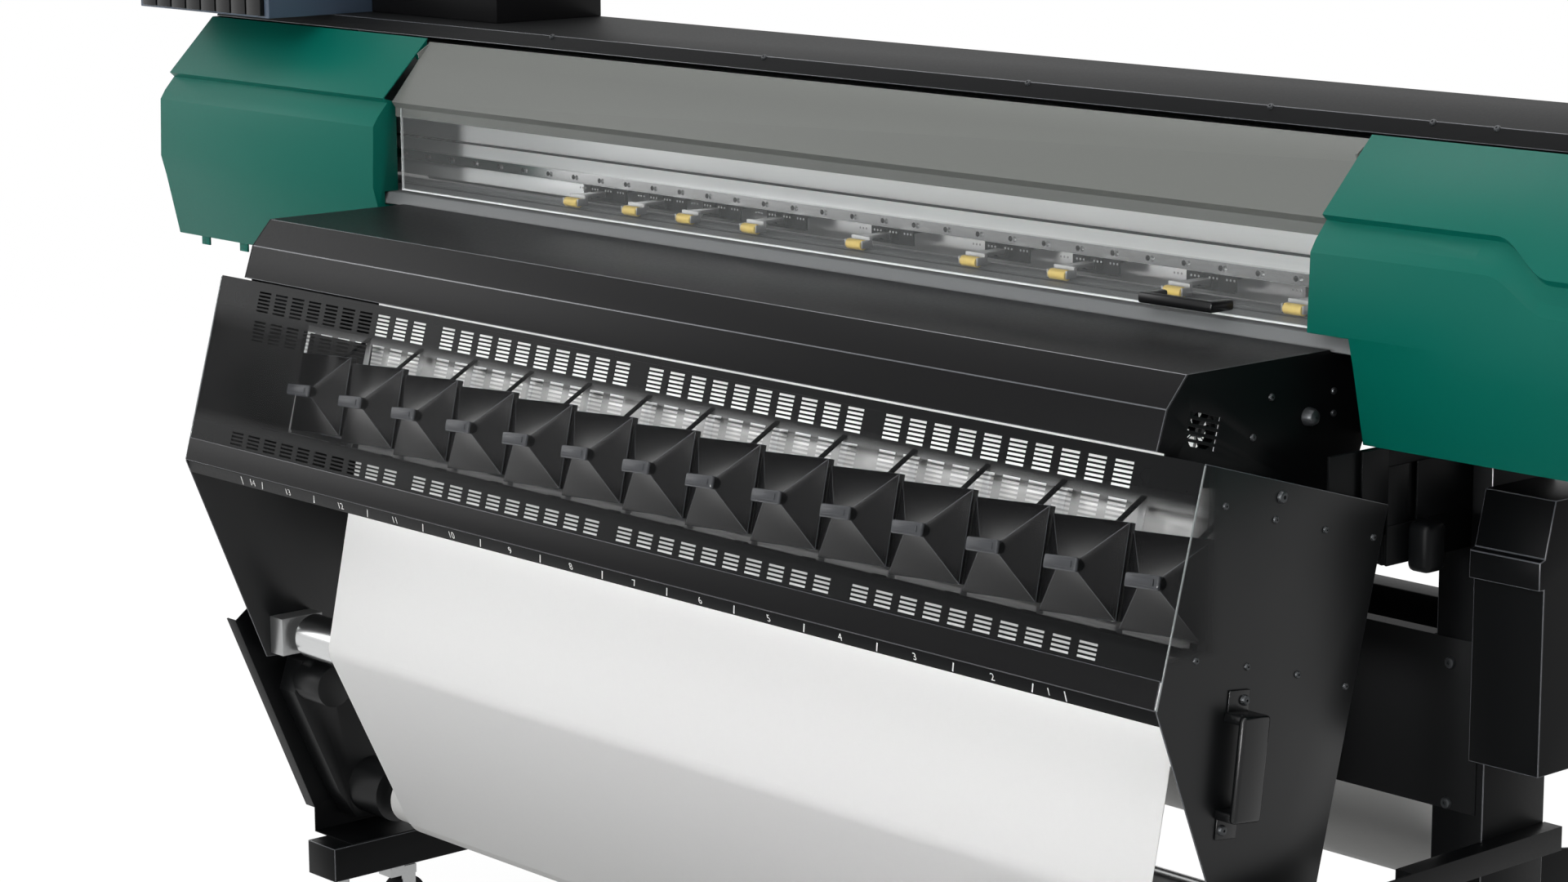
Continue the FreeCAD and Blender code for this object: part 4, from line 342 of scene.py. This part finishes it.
SOFTENED = {
    "stand_legs": (black_coat, 1.2), "stand_panel": (dark_coat, 0.8), "top_cover": (dark_coat, 0.9),
    "front_cover_panel": (grey_enamel, 0.8), "left_cover": (green_paint, 0.9),
    "control_panel": (black_abs, 1.0), "ink_housing": (hood_coat, 0.9),
    "ink_tray": (slate_abs, 1.0), "dryer_hood": (hood_coat, 0.9), "dryer_ends": (black_coat, 0.6),
    "fan_box_sides": (side_sheet, 0.9), "front_rail": (hood_coat, 0.7), "ruler_strip": (black_coat, 0.3),
    "roll_brackets": (black_coat, 0.9), "power_box": (black_coat, 1.2),
    "take_up_drive": (cast_black, 2.0), "guide_blocks": (zinc_steel, 1.0),
    "window_grip": (black_abs, 3.0), "print_carriage": (black_abs, 2.0), "loading_lever": (black_abs, 1.5),
    "hot_air_hoods": (hood_abs, 2.2), "carriage_beam": (drawn_aluminium, 0.8),
    "pinch_arms": (zinc_steel, 0.5), "pinch_rollers": (amber_rubber, 0.7), "hood_mounts": (dark_coat, 0.4),
    "pinch_holders": (dark_coat, 0.4), "platen": (platen_coat, 0.6),
}
for number in range(1, 9):
    SOFTENED["ink_pack_%d" % number] = (black_abs, 1.2)
# A hood's flat faces meet at shallow folds, so its angle is smaller than the others'.
for node_name, (material, width) in SOFTENED.items():
    soften(node_name, material, width, angle=12 if node_name == "hot_air_hoods" else 20)
print("softened", len(SOFTENED), "pieces")

# %% [markdown]
# ## The right cover's lip
# Along the print bay this lip is high, and it drops to its low run in one smooth S. The engineering model
# steps there. The copy is sliced across by a row of planes, and each slice beyond the step is lifted from
# the low profile toward the high one, by less and less, as a smooth step eases it down.

# %% The right cover's lip
STEP_X, LIP_STARTS, LIP_ENDS, LIP_SLICES = 1090, 1112, 1196, 14
# The lip lies in front of this Y. Its first slice is just beyond the step, and what lies in a narrow band on
# both sides of the step is drawn together and welded.
LIP_BACK, FIRST_SLICE, BAND_BEFORE, BAND_BEYOND, WELD_REACH = -20, 2, 1.7, 2.05, 1.2
# Height on the low profile, then how far back and up the high profile lies from it.
LIP_LIFT = [(1350, 0, 0), (1228, 19, 38), (1221, 19, 38), (1201, 3, 38), (1187, 1, 38), (1135, 0, 0)]


def lift_at(height):
    """How far back and up a point of the low profile lies below the high one, in mm."""
    for (top, top_back, top_up), (foot, foot_back, foot_up) in zip(LIP_LIFT, LIP_LIFT[1:]):
        if foot <= height <= top:
            share = (height - foot) / (top - foot)
            back = foot_back + (top_back - foot_back) * share
            return Vector((0, back, foot_up + (top_up - foot_up) * share))
    return Vector((0, 0, 0))


def ease_lip(mesh):
    """Turn the step of the right cover's lip into a smooth S."""
    places = [STEP_X + FIRST_SLICE] + [LIP_STARTS + (LIP_ENDS - LIP_STARTS) * turn / LIP_SLICES
                             for turn in range(LIP_SLICES + 1)]
    for place in places:
        bmesh.ops.bisect_plane(mesh, geom=mesh.verts[:] + mesh.edges[:] + mesh.faces[:], dist=0.001 * MM,
                               plane_co=(place * MM, 0, 0), plane_no=(1, 0, 0))
    joint = [vert for vert in mesh.verts if -BAND_BEFORE * MM <= vert.co.x - STEP_X * MM <= BAND_BEYOND * MM
             and vert.co.y < LIP_BACK * MM]
    inside = set(joint)
    strip = [face for face in mesh.faces if all(vert in inside for vert in face.verts)]
    for vert in mesh.verts:
        place = vert.co.x / MM
        if STEP_X + FIRST_SLICE - 0.1 <= place <= LIP_ENDS and vert.co.y < LIP_BACK * MM:
            share = min(1.0, max(0.0, (place - LIP_STARTS) / (LIP_ENDS - LIP_STARTS)))
            vert.co += lift_at(vert.co.z / MM) * MM * (1 - share * share * (3 - 2 * share))
    bmesh.ops.delete(mesh, geom=strip, context="FACES")
    joint = [vert for vert in joint if vert.is_valid]
    for vert in joint:
        vert.co.x = STEP_X * MM
    bmesh.ops.remove_doubles(mesh, verts=joint, dist=WELD_REACH * MM)
    bmesh.ops.recalc_face_normals(mesh, faces=mesh.faces)


soften("right_cover", green_paint, 0.9, reshape=ease_lip)
print("the lip eases down from X", LIP_STARTS, "to", LIP_ENDS)

# %% [markdown]
# ## Finishes on the pieces that keep their meshes
# Round and hidden pieces need no bevel: a finish is just put into each one's material slot.

# %% Finishes on the pieces that keep their meshes
KEPT = {
    "levelling_feet": zinc_steel, "chassis": black_coat, "grit_roller": dark_steel,
    "linear_rail": ground_steel, "drive_belt": black_rubber, "front_window": clear_window,
    "power_button": zinc_steel, "dryer_fan": black_abs, "fan_box_front": smoked_sheet,
    "fan_box_back": white_zinc, "guide_roller": ground_steel, "media_web": coated_paper,
    "take_up_roll": roll_paper, "supply_roll": roll_paper,
}
for number in range(1, 5):
    KEPT["caster_fork_%d" % number] = zinc_steel
    KEPT["caster_wheel_%d" % number] = black_rubber
for node_name, material in KEPT.items():
    piece = cad_nodes[node_name]
    piece.data.materials.clear()
    piece.data.materials.append(material)
print("finished", len(KEPT), "carried-over pieces")

# %% [markdown]
# ## Screw heads
# A button-head screw is a low dome with a socket. One is modelled from a cone, with its rim bevelled and its
# top face inset and pushed in, and then stamped wherever a screw sits: a few dozen faces each.


# %% Screw heads
def screw_pattern(radius, height):
    """One button head that stands on its own origin, along +Z."""
    mesh = bmesh.new()
    bmesh.ops.create_cone(mesh, cap_ends=True, segments=14, radius1=radius * MM, radius2=radius * 0.86 * MM,
                          depth=height * MM, matrix=Matrix.Translation((0, 0, height * MM / 2)))
    rim = [edge for edge in mesh.edges if all(v.co.z > height * 0.9 * MM for v in edge.verts)]
    bmesh.ops.bevel(mesh, geom=rim, offset=height * 0.4 * MM, offset_type="OFFSET", segments=2,
                    profile=0.5, affect="EDGES", material=-1)
    top = [face for face in mesh.faces if face.normal.z > 0.99]
    bmesh.ops.inset_individual(mesh, faces=top, thickness=radius * 0.3 * MM)
    sunk = bmesh.ops.extrude_discrete_faces(mesh, faces=top)["faces"]
    bmesh.ops.translate(mesh, verts=list({v for f in sunk for v in f.verts}), vec=(0, 0, -height * 0.45 * MM))
    data = bpy.data.meshes.new("screw_pattern")
    mesh.to_mesh(data)
    mesh.free()
    return data


def stamp(mesh, pattern, place, outward):
    """Copy a pattern into a bmesh, standing at a place in mm and pointing outward."""
    first = len(mesh.verts)
    mesh.from_mesh(pattern)
    mesh.verts.ensure_lookup_table()
    turn = Vector(outward).to_track_quat("Z", "Y").to_matrix().to_4x4()
    bmesh.ops.transform(mesh, matrix=Matrix.Translation(Vector(place) * MM) @ turn, verts=mesh.verts[first:])


UNIT_TURN = Matrix.Rotation(-UNIT_TILT, 3, "X")
UNIT_OUT = UNIT_TURN @ Vector((0, -1, 0))


def on_unit(x, depth, up):
    """A point of the hot-air unit's own sloping frame, in mm."""
    return UNIT_CORNER + UNIT_TURN @ Vector((x, depth, up))


small_head, large_head, hex_head = screw_pattern(4.4, 2.8), screw_pattern(7.5, 4.5), screw_pattern(6.5, 5)
knob = screw_pattern(11, 13)
heads = bmesh.new()
# Each list is (Y, Z) in mm on a side face, and both sides have the same.
UNIT_SIDE, TAB_FACE, DRYER_SIDE = 953, 956, 887
SIDE_SCREWS = [(-373, 979), (-290, 952), (-205, 928), (-122, 907),
               (-417, 814), (-333, 793), (-248, 769), (-165, 741)]
UNIT_PIVOT = (-280, 976)
HANDLE_BOLTS = [(-340, 757), (-374, 615)]
DRYER_SCREWS = [(-225, 1072), (-118, 1066), (-118, 1040), (-255, 1030)]
DRYER_KNOB = (-162, 1042)
PANEL_BOLT_X, PANEL_FACE, PANEL_BOLT_HEIGHTS = 927, 58, (725, 554)
ROOF_SCREWS, ROOF_EDGE = (-662, -200, 300, 700, 941, 1031), (-20, 1368)
for side in (-1, 1):
    outward = (side, 0, 0)
    for place in SIDE_SCREWS:
        stamp(heads, small_head, (side * UNIT_SIDE, *place), outward)
    stamp(heads, large_head, (side * UNIT_SIDE, *UNIT_PIVOT), outward)
    for place in HANDLE_BOLTS:
        stamp(heads, hex_head, (side * TAB_FACE, *place), outward)
    for place in DRYER_SCREWS:
        stamp(heads, small_head, (side * DRYER_SIDE, *place), outward)
    for height in PANEL_BOLT_HEIGHTS:
        stamp(heads, large_head, (side * PANEL_BOLT_X, PANEL_FACE, height), (0, -1, 0))
for along in ROOF_SCREWS:
    stamp(heads, small_head, (along, *ROOF_EDGE), (0, -0.7, 0.7))
for side in (-1, 1):
    stamp(heads, knob, (side * DRYER_SIDE, *DRYER_KNOB), (side, 0, 0))
settle(heads, "screw_heads", [dark_steel], "fasteners", ["fasteners"])
print("stamped the body's screws")

# %% [markdown]
# ## Blocks, hangers and handles
# A cube operator and a bevel make most small parts: the carrying handles with their rounded tabs, the
# brackets that hang the hot-air unit on the stand, the tube across the rear and the sheets' polished edges,
# which are pale strips: a painted highlight.


# %% Blocks, hangers and handles
def block(mesh, low, high, radius=1.0, frame_of=None):
    """A rounded box between two corners in mm, in the printer's own axes or in frame_of."""
    low, high = Vector(low), Vector(high)
    verts = bmesh.ops.create_cube(mesh, size=1.0)["verts"]
    place = Matrix.Translation((low + high) / 2 * MM) @ Matrix.Diagonal((*((high - low) * MM), 1))
    bmesh.ops.transform(mesh, matrix=(frame_of or Matrix()) @ place, verts=verts)
    edges = list({edge for vert in verts for edge in vert.link_edges})
    bmesh.ops.bevel(mesh, geom=edges, offset=radius * MM, offset_type="OFFSET", segments=3, profile=0.5,
                    affect="EDGES", material=-1)


def across(side, start, stop):
    """A span along X on one side of the machine, lower end first."""
    return sorted((side * start, side * stop))


UNIT_FRAME = Matrix.Translation(UNIT_CORNER * MM) @ UNIT_TURN.to_4x4()
HANDLE_FRAME = Matrix.Translation(Vector((0, -356, 686)) * MM) @ Matrix.Rotation(math.radians(-7), 4, "X")
# The hanger's face is four strips round a slot and one strip forward, each (Y, Z) low and high.
HANGER_STRIPS = (((-94, 984), (59, 1007)), ((-94, 868), (59, 915)), ((-94, 915), (-58, 984)),
                 ((-42, 915), (59, 984)), ((-140, 940), (-94, 1007)))
HANGER_FACE, HANGER_BACKING = (947.5, 950.5), (940, 944)
# How far out each part of a handle starts and ends along X.
HANDLE_BAR, HANDLE_LEGS, HANDLE_TABS = (975.5, 986), (953.2, 982), (953.2, TAB_FACE)
handles, hangers, sheet_rims, end_strip = bmesh.new(), bmesh.new(), bmesh.new(), bmesh.new()
for side in (-1, 1):
    # A wide bar on two legs: the hand gap stays open behind it.
    near, far = across(side, *HANDLE_BAR)
    block(handles, (near, -23, -60), (far, 22, 60), 4.5, HANDLE_FRAME)
    near, far = across(side, *HANDLE_LEGS)
    for low, high in ((-60, -49), (49, 60)):
        block(handles, (near, -21, low), (far, 20, high), 2.0, HANDLE_FRAME)
    near, far = across(side, *HANDLE_TABS)
    for low, high in ((58, 84), (-84, -58)):
        block(handles, (near, -17, low), (far, 17, high), 1.2, HANDLE_FRAME)
    near, far = across(side, *HANGER_FACE)
    for low, high in HANGER_STRIPS:
        block(hangers, (near, *low), (far, *high), 0.6)
    # A dark backing sheet behind the slot, so that the slot shows dark: it paints the shade seen through it.
    near, far = across(side, *HANGER_BACKING)
    block(hangers, (near, -94, 868), (far, 59, 1007), 0.6)
    block(hangers, (near, -190, 930), (far, -94, 1007), 0.6)
    # The lug inside it and the rounded buffer on its outer face.
    near, far = across(side, 906, 947)
    block(hangers, (near, -93, 868), (far, -50, 905), 2.0)
    near, far = across(side, 951, 984)
    block(hangers, (near, -62, 858), (far, -26, 917), 9.0)
    # The polished edge of the side sheet, a pale strip: a painted highlight.
    near, far = across(side, 951.4, 953.2)
    block(sheet_rims, (near, -0.9, 2), (far, 1.2, 272), 0.5, UNIT_FRAME)
# The tube across the rear of the stand stops 1 to 2 mm short of the legs. Two strips close the view under
# the beam, and the rear one stands 2 mm behind it.
block(hangers, (-903, 178, 718), (903, 223, 764), 3.0)
block(end_strip, (-1130, 38, 1127.6), (-668, 41, 1149.4), 0.6)
rear_guide = bmesh.new()
block(rear_guide, (-1130, 97, 1112), (862, 100, 1165), 0.6)
settle(rear_guide, "rear_paper_guide", [white_zinc], "chassis")
settle(handles, "carrying_handles", [black_abs], "side_handles", ["side_handles"])
settle(hangers, "unit_hangers", [black_coat], "chassis")
settle(sheet_rims, "sheet_edges", [edge_glow_paint], "fan_box_front")
settle(end_strip, "bay_end_strip", [drawn_aluminium], "chassis")
print("blocks stand on both sides")

# %% [markdown]
# ## Rail screws and holder rivets
# The carriage rail is screwed to the beam every 60 mm, and the pinch wheels' black holders carry bright
# rivets. Places along X come from the frame: a node's vertices are sorted, and split at every wide gap. The
# rivets have a known fault. A roller has vertices at its two ends alone, and the gap is shorter than the
# roller, so each end counts as one. They also stand as far forward as the holders' lugs. Most of them are
# therefore in front of the holder's plate, or beside it, and not on it.


# %% Rail screws and holder rivets
def spans_of(node, gap):
    """Where a node's vertices gather along X, in mm: a gap between two starts the next span."""
    along = sorted({round(vert.co.x / MM, 1) for vert in cad_nodes[node].data.vertices})
    spans = [[along[0], along[0]]]
    for place in along[1:]:
        if place - spans[-1][1] > gap:
            spans.append([place, place])
        spans[-1][1] = place
    return spans


RAIL_PITCH, RIVET_HEIGHT, RIVET_OFFSETS = 60, 1147, (23, 29, 35)
rail_low, rail_high = (Vector(corner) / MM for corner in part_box("linear_rail"))
rail_height = (rail_low.z + rail_high.z) / 2
cap = screw_pattern(3.6, 0.6)
caps = bmesh.new()
for count in range(int((rail_high.x - rail_low.x) // RAIL_PITCH)):
    stamp(caps, cap, (rail_low.x + RAIL_PITCH * (count + 0.5), rail_low.y - 0.05, rail_height), (0, -1, 0))
settle(caps, "rail_screws", [black_abs], "linear_rail")
rivets = bmesh.new()
rivet = screw_pattern(1.6, 0.3)
lug_low = Vector(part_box("pinch_holders")[0]) / MM
roller_ends = spans_of("pinch_rollers", 20)
for low, high in roller_ends:
    middle = (low + high) / 2
    for offset in RIVET_OFFSETS:
        for side in (-1, 1):
            stamp(rivets, rivet, (middle + side * offset, lug_low.y, RIVET_HEIGHT), (0, -1, 0))
settle(rivets, "holder_rivets", [zinc_steel], "pinch_holders")
print("rail at height", round(rail_height), "and rivets about", len(roller_ends), "roller ends")

# %% [markdown]
# ## Hood bosses
# Each hot-air hood carries a long boss on its crown: a rounded block with a smaller one standing on it. One
# pattern is made and stamped 14 times along the row.

# %% Hood bosses
HOOD_COUNT, HOOD_PITCH, HOOD_UP, HOOD_ROLL = 14, 127, 133, math.radians(3.7)
CROWN_DEPTH = 79.6
boss = bmesh.new()
block(boss, (-26, -8.4, -4), (26, 8.4, 2), 2.8)
block(boss, (-19, -4.2, 1.5), (19, 4.2, 3.6), 1.0)
boss_pattern = bpy.data.meshes.new("boss_pattern")
boss.to_mesh(boss_pattern)
boss.free()
# The pattern lies flat: its X runs along the row, its Y up the slope and its Z out of the unit.
LAID = Matrix((Vector((1, 0, 0)), UNIT_TURN @ Vector((0, 0, 1)), UNIT_OUT)).transposed().to_4x4()
trims = bmesh.new()
for count in range(HOOD_COUNT):
    place = (count - (HOOD_COUNT - 1) / 2) * HOOD_PITCH
    first = len(trims.verts)
    trims.from_mesh(boss_pattern)
    trims.verts.ensure_lookup_table()
    stand = Matrix.Translation(on_unit(place, CROWN_DEPTH, HOOD_UP) * MM) @ LAID
    bmesh.ops.transform(trims, matrix=stand @ Matrix.Rotation(HOOD_ROLL, 4, "Z"), verts=trims.verts[first:])
# The bosses take the pale fold paint: a painted highlight on each crown.
settle(trims, "hood_trims", [fold_highlight_paint], "hot_air_hoods")
print("bosses on", HOOD_COUNT, "hoods")

# %% [markdown]
# ## Ruler
# The strip under the louvres is a media ruler: a white tick at each zone and a plain number between. Text is
# made as a curve, turned into a mesh, and only then put in its place on the sloping strip.


# %% Ruler
ZONE_PITCH, LAST_TICK, LAST_NUMBER = 127, 813, 787
TICK_WIDE, TICK_TALL, MARK_THICK, NUMBER_TALL = 1.8, 13, 0.1, 14
TICK_LEAN, MARK_UP, MARK_PROUD = math.radians(-22), 8.5, 0.15
STRIP_FRONT, STRIP_TURN = -476.8, 2.0
ruler_low, ruler_high = (Vector(corner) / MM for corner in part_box("ruler_strip"))
ruler_top = Vector((0, STRIP_FRONT, ruler_high.z))
ruler_foot = Vector((0, ruler_high.y - STRIP_TURN, ruler_low.z))
ruler_up = (ruler_top - ruler_foot).normalized()
ruler_out = ruler_up.cross(Vector((1, 0, 0))).normalized()
if ruler_out.y > 0:
    ruler_out.negate()
ruler_turn = Matrix((Vector((1, 0, 0)), ruler_up, ruler_out)).transposed().to_4x4()


def ruler_place(x):
    """Stands a mark on the strip's face, half way up and just proud of it."""
    point = ruler_foot + Vector((x, 0, 0)) + ruler_up * MARK_UP + ruler_out * MARK_PROUD
    return Matrix.Translation(point * MM) @ ruler_turn


def tick(mesh, x, lean):
    """One white tick across the strip."""
    verts = bmesh.ops.create_cube(mesh, size=1.0)["verts"]
    shape = Matrix.Diagonal((TICK_WIDE * MM, TICK_TALL * MM, MARK_THICK * MM, 1))
    bmesh.ops.transform(mesh, matrix=ruler_place(x) @ Matrix.Rotation(lean, 4, "Z") @ shape, verts=verts)


marks = bmesh.new()
for count in range(-6, 7):
    tick(marks, count * ZONE_PITCH, TICK_LEAN)
for x in (-LAST_TICK, LAST_TICK):
    tick(marks, x, 0)
for number in range(1, 15):
    letters = bpy.data.curves.new("ruler_number_%d" % number, "FONT")
    letters.body = str(number)
    letters.size = NUMBER_TALL * MM
    letters.align_x, letters.align_y = "CENTER", "CENTER"
    carrier = bpy.data.objects.new(letters.name, letters)
    scene.collection.objects.link(carrier)
    flat = bpy.data.meshes.new_from_object(carrier)
    bpy.data.objects.remove(carrier)
    x = (7.5 - number) * ZONE_PITCH if 1 < number < 14 else math.copysign(LAST_NUMBER, 7.5 - number)
    flat.transform(ruler_place(x))
    marks.from_mesh(flat)
settle(marks, "ruler_marks", [white_print], "ruler_strip")
print("ruler numbers 1 to 14")

# %% [markdown]
# ## Studio
# A white floor and soft lamps. Camera, gloss and transmission rays meet a plain white world, so the
# background, the chrome and the clear sheets all see white, and no more light falls on the printer for it.
# The floor mixes a little of its own shading in, which keeps the soft shadow under the stand.


# %% Studio
def soft_lamp(name, place, target, size, power):
    """A rectangular soft box aimed at a point."""
    lamp_data = bpy.data.lights.new(name, "AREA")
    lamp_data.shape = "RECTANGLE"
    lamp_data.size, lamp_data.size_y = size
    lamp_data.energy = power
    lamp = bpy.data.objects.new(name, lamp_data)
    scene.collection.objects.link(lamp)
    lamp.location = place
    lamp.rotation_mode = "QUATERNION"
    lamp.rotation_quaternion = (Vector(target) - Vector(place)).to_track_quat("-Z", "Y")
    return lamp


def seen_rays(tree):
    """1 for camera, glossy and transmission rays, else 0."""
    rays = add(tree, "ShaderNodeLightPath")
    straight = add(tree, "ShaderNodeMath", {"operation": "MAXIMUM"},
                   {0: rays.outputs["Is Camera Ray"], 1: rays.outputs["Is Transmission Ray"]})
    seen = add(tree, "ShaderNodeMath", {"operation": "MAXIMUM"},
               {0: straight.outputs["Value"], 1: rays.outputs["Is Glossy Ray"]})
    return seen.outputs["Value"]


world = bpy.data.worlds.new("studio_world")
scene.world = world
world.use_nodes = True
world_tree = world.node_tree
world_tree.nodes.clear()
soft_world = add(world_tree, "ShaderNodeBackground", {"Color": colour("#ffffff"), "Strength": 0.3})
white_world = add(world_tree, "ShaderNodeBackground", {"Color": colour("#ffffff"), "Strength": 1.0})
world_mix = add(world_tree, "ShaderNodeMixShader", None,
                {0: seen_rays(world_tree), 1: soft_world.outputs["Background"],
                 2: white_world.outputs["Background"]})
add(world_tree, "ShaderNodeOutputWorld", None, {"Surface": world_mix.outputs["Shader"]})

floor_mesh = bmesh.new()
bmesh.ops.create_grid(floor_mesh, x_segments=1, y_segments=1, size=9.0)
floor_data = bpy.data.meshes.new("studio_floor")
floor_mesh.to_mesh(floor_data)
floor_mesh.free()
floor = bpy.data.objects.new("studio_floor", floor_data)
scene.collection.objects.link(floor)
floor.location.z = -0.0005
floor_paint = finish_of("matte_floor", colour("#a9a9a9"), 0.8, grain=(60.0, 0.01, (1, 1, 1)), variation=0.01)
floor_tree = floor_paint.node_tree
floor_out = next(node for node in floor_tree.nodes if node.type == "OUTPUT_MATERIAL")
floor_coat = next(node for node in floor_tree.nodes if node.type == "BSDF_PRINCIPLED")
FLOOR_WHITENESS = 0.8
floor_share = add(floor_tree, "ShaderNodeMath", {"operation": "MULTIPLY", 1: FLOOR_WHITENESS},
                  {0: seen_rays(floor_tree)})
floor_white = add(floor_tree, "ShaderNodeEmission", {"Color": colour("#ffffff"), "Strength": 1.2})
floor_mix = add(floor_tree, "ShaderNodeMixShader", None,
                {0: floor_share.outputs["Value"], 1: floor_coat.outputs["BSDF"],
                 2: floor_white.outputs["Emission"]})
floor_tree.links.new(floor_mix.outputs["Shader"], floor_out.inputs["Surface"])
floor_data.materials.append(floor_paint)

soft_lamp("key_lamp", (2.5, -4.5, 4.2), (0, -0.2, 0.9), (3.5, 2.0), 120)
soft_lamp("top_lamp", (0.0, 0.0, 4.0), (0, 0, 1.2), (4.5, 2.0), 60)
soft_lamp("left_lamp", (-4.5, -2.5, 2.5), (0, -0.2, 0.9), (2.5, 2.5), 40)
bay_lamp = soft_lamp("bay_lamp", (0.4, -4.5, 1.3), (0, 0, 1.2), (4.0, 0.3), 5)
bay_lamp.data.spread = math.radians(16)
web_lamp = soft_lamp("web_lamp", (0.5, -4.5, 1.0), (0, -0.3, 0.66), (4.0, 0.3), 3)
web_lamp.data.spread = math.radians(14)
for name, up, aim, power in (("unit_lamp_high", 262, 205, 1.2), ("unit_lamp_low", 10, 56, 0.7)):
    glow_lamp = soft_lamp(name, tuple(on_unit(0, 46, up) * MM), tuple(on_unit(0, 168, aim) * MM),
                          (1.8, 0.03), power)
    glow_lamp.visible_camera = False
scene.view_settings.view_transform = "Standard"
print("lamps:", [lamp.name for lamp in bpy.data.lights])
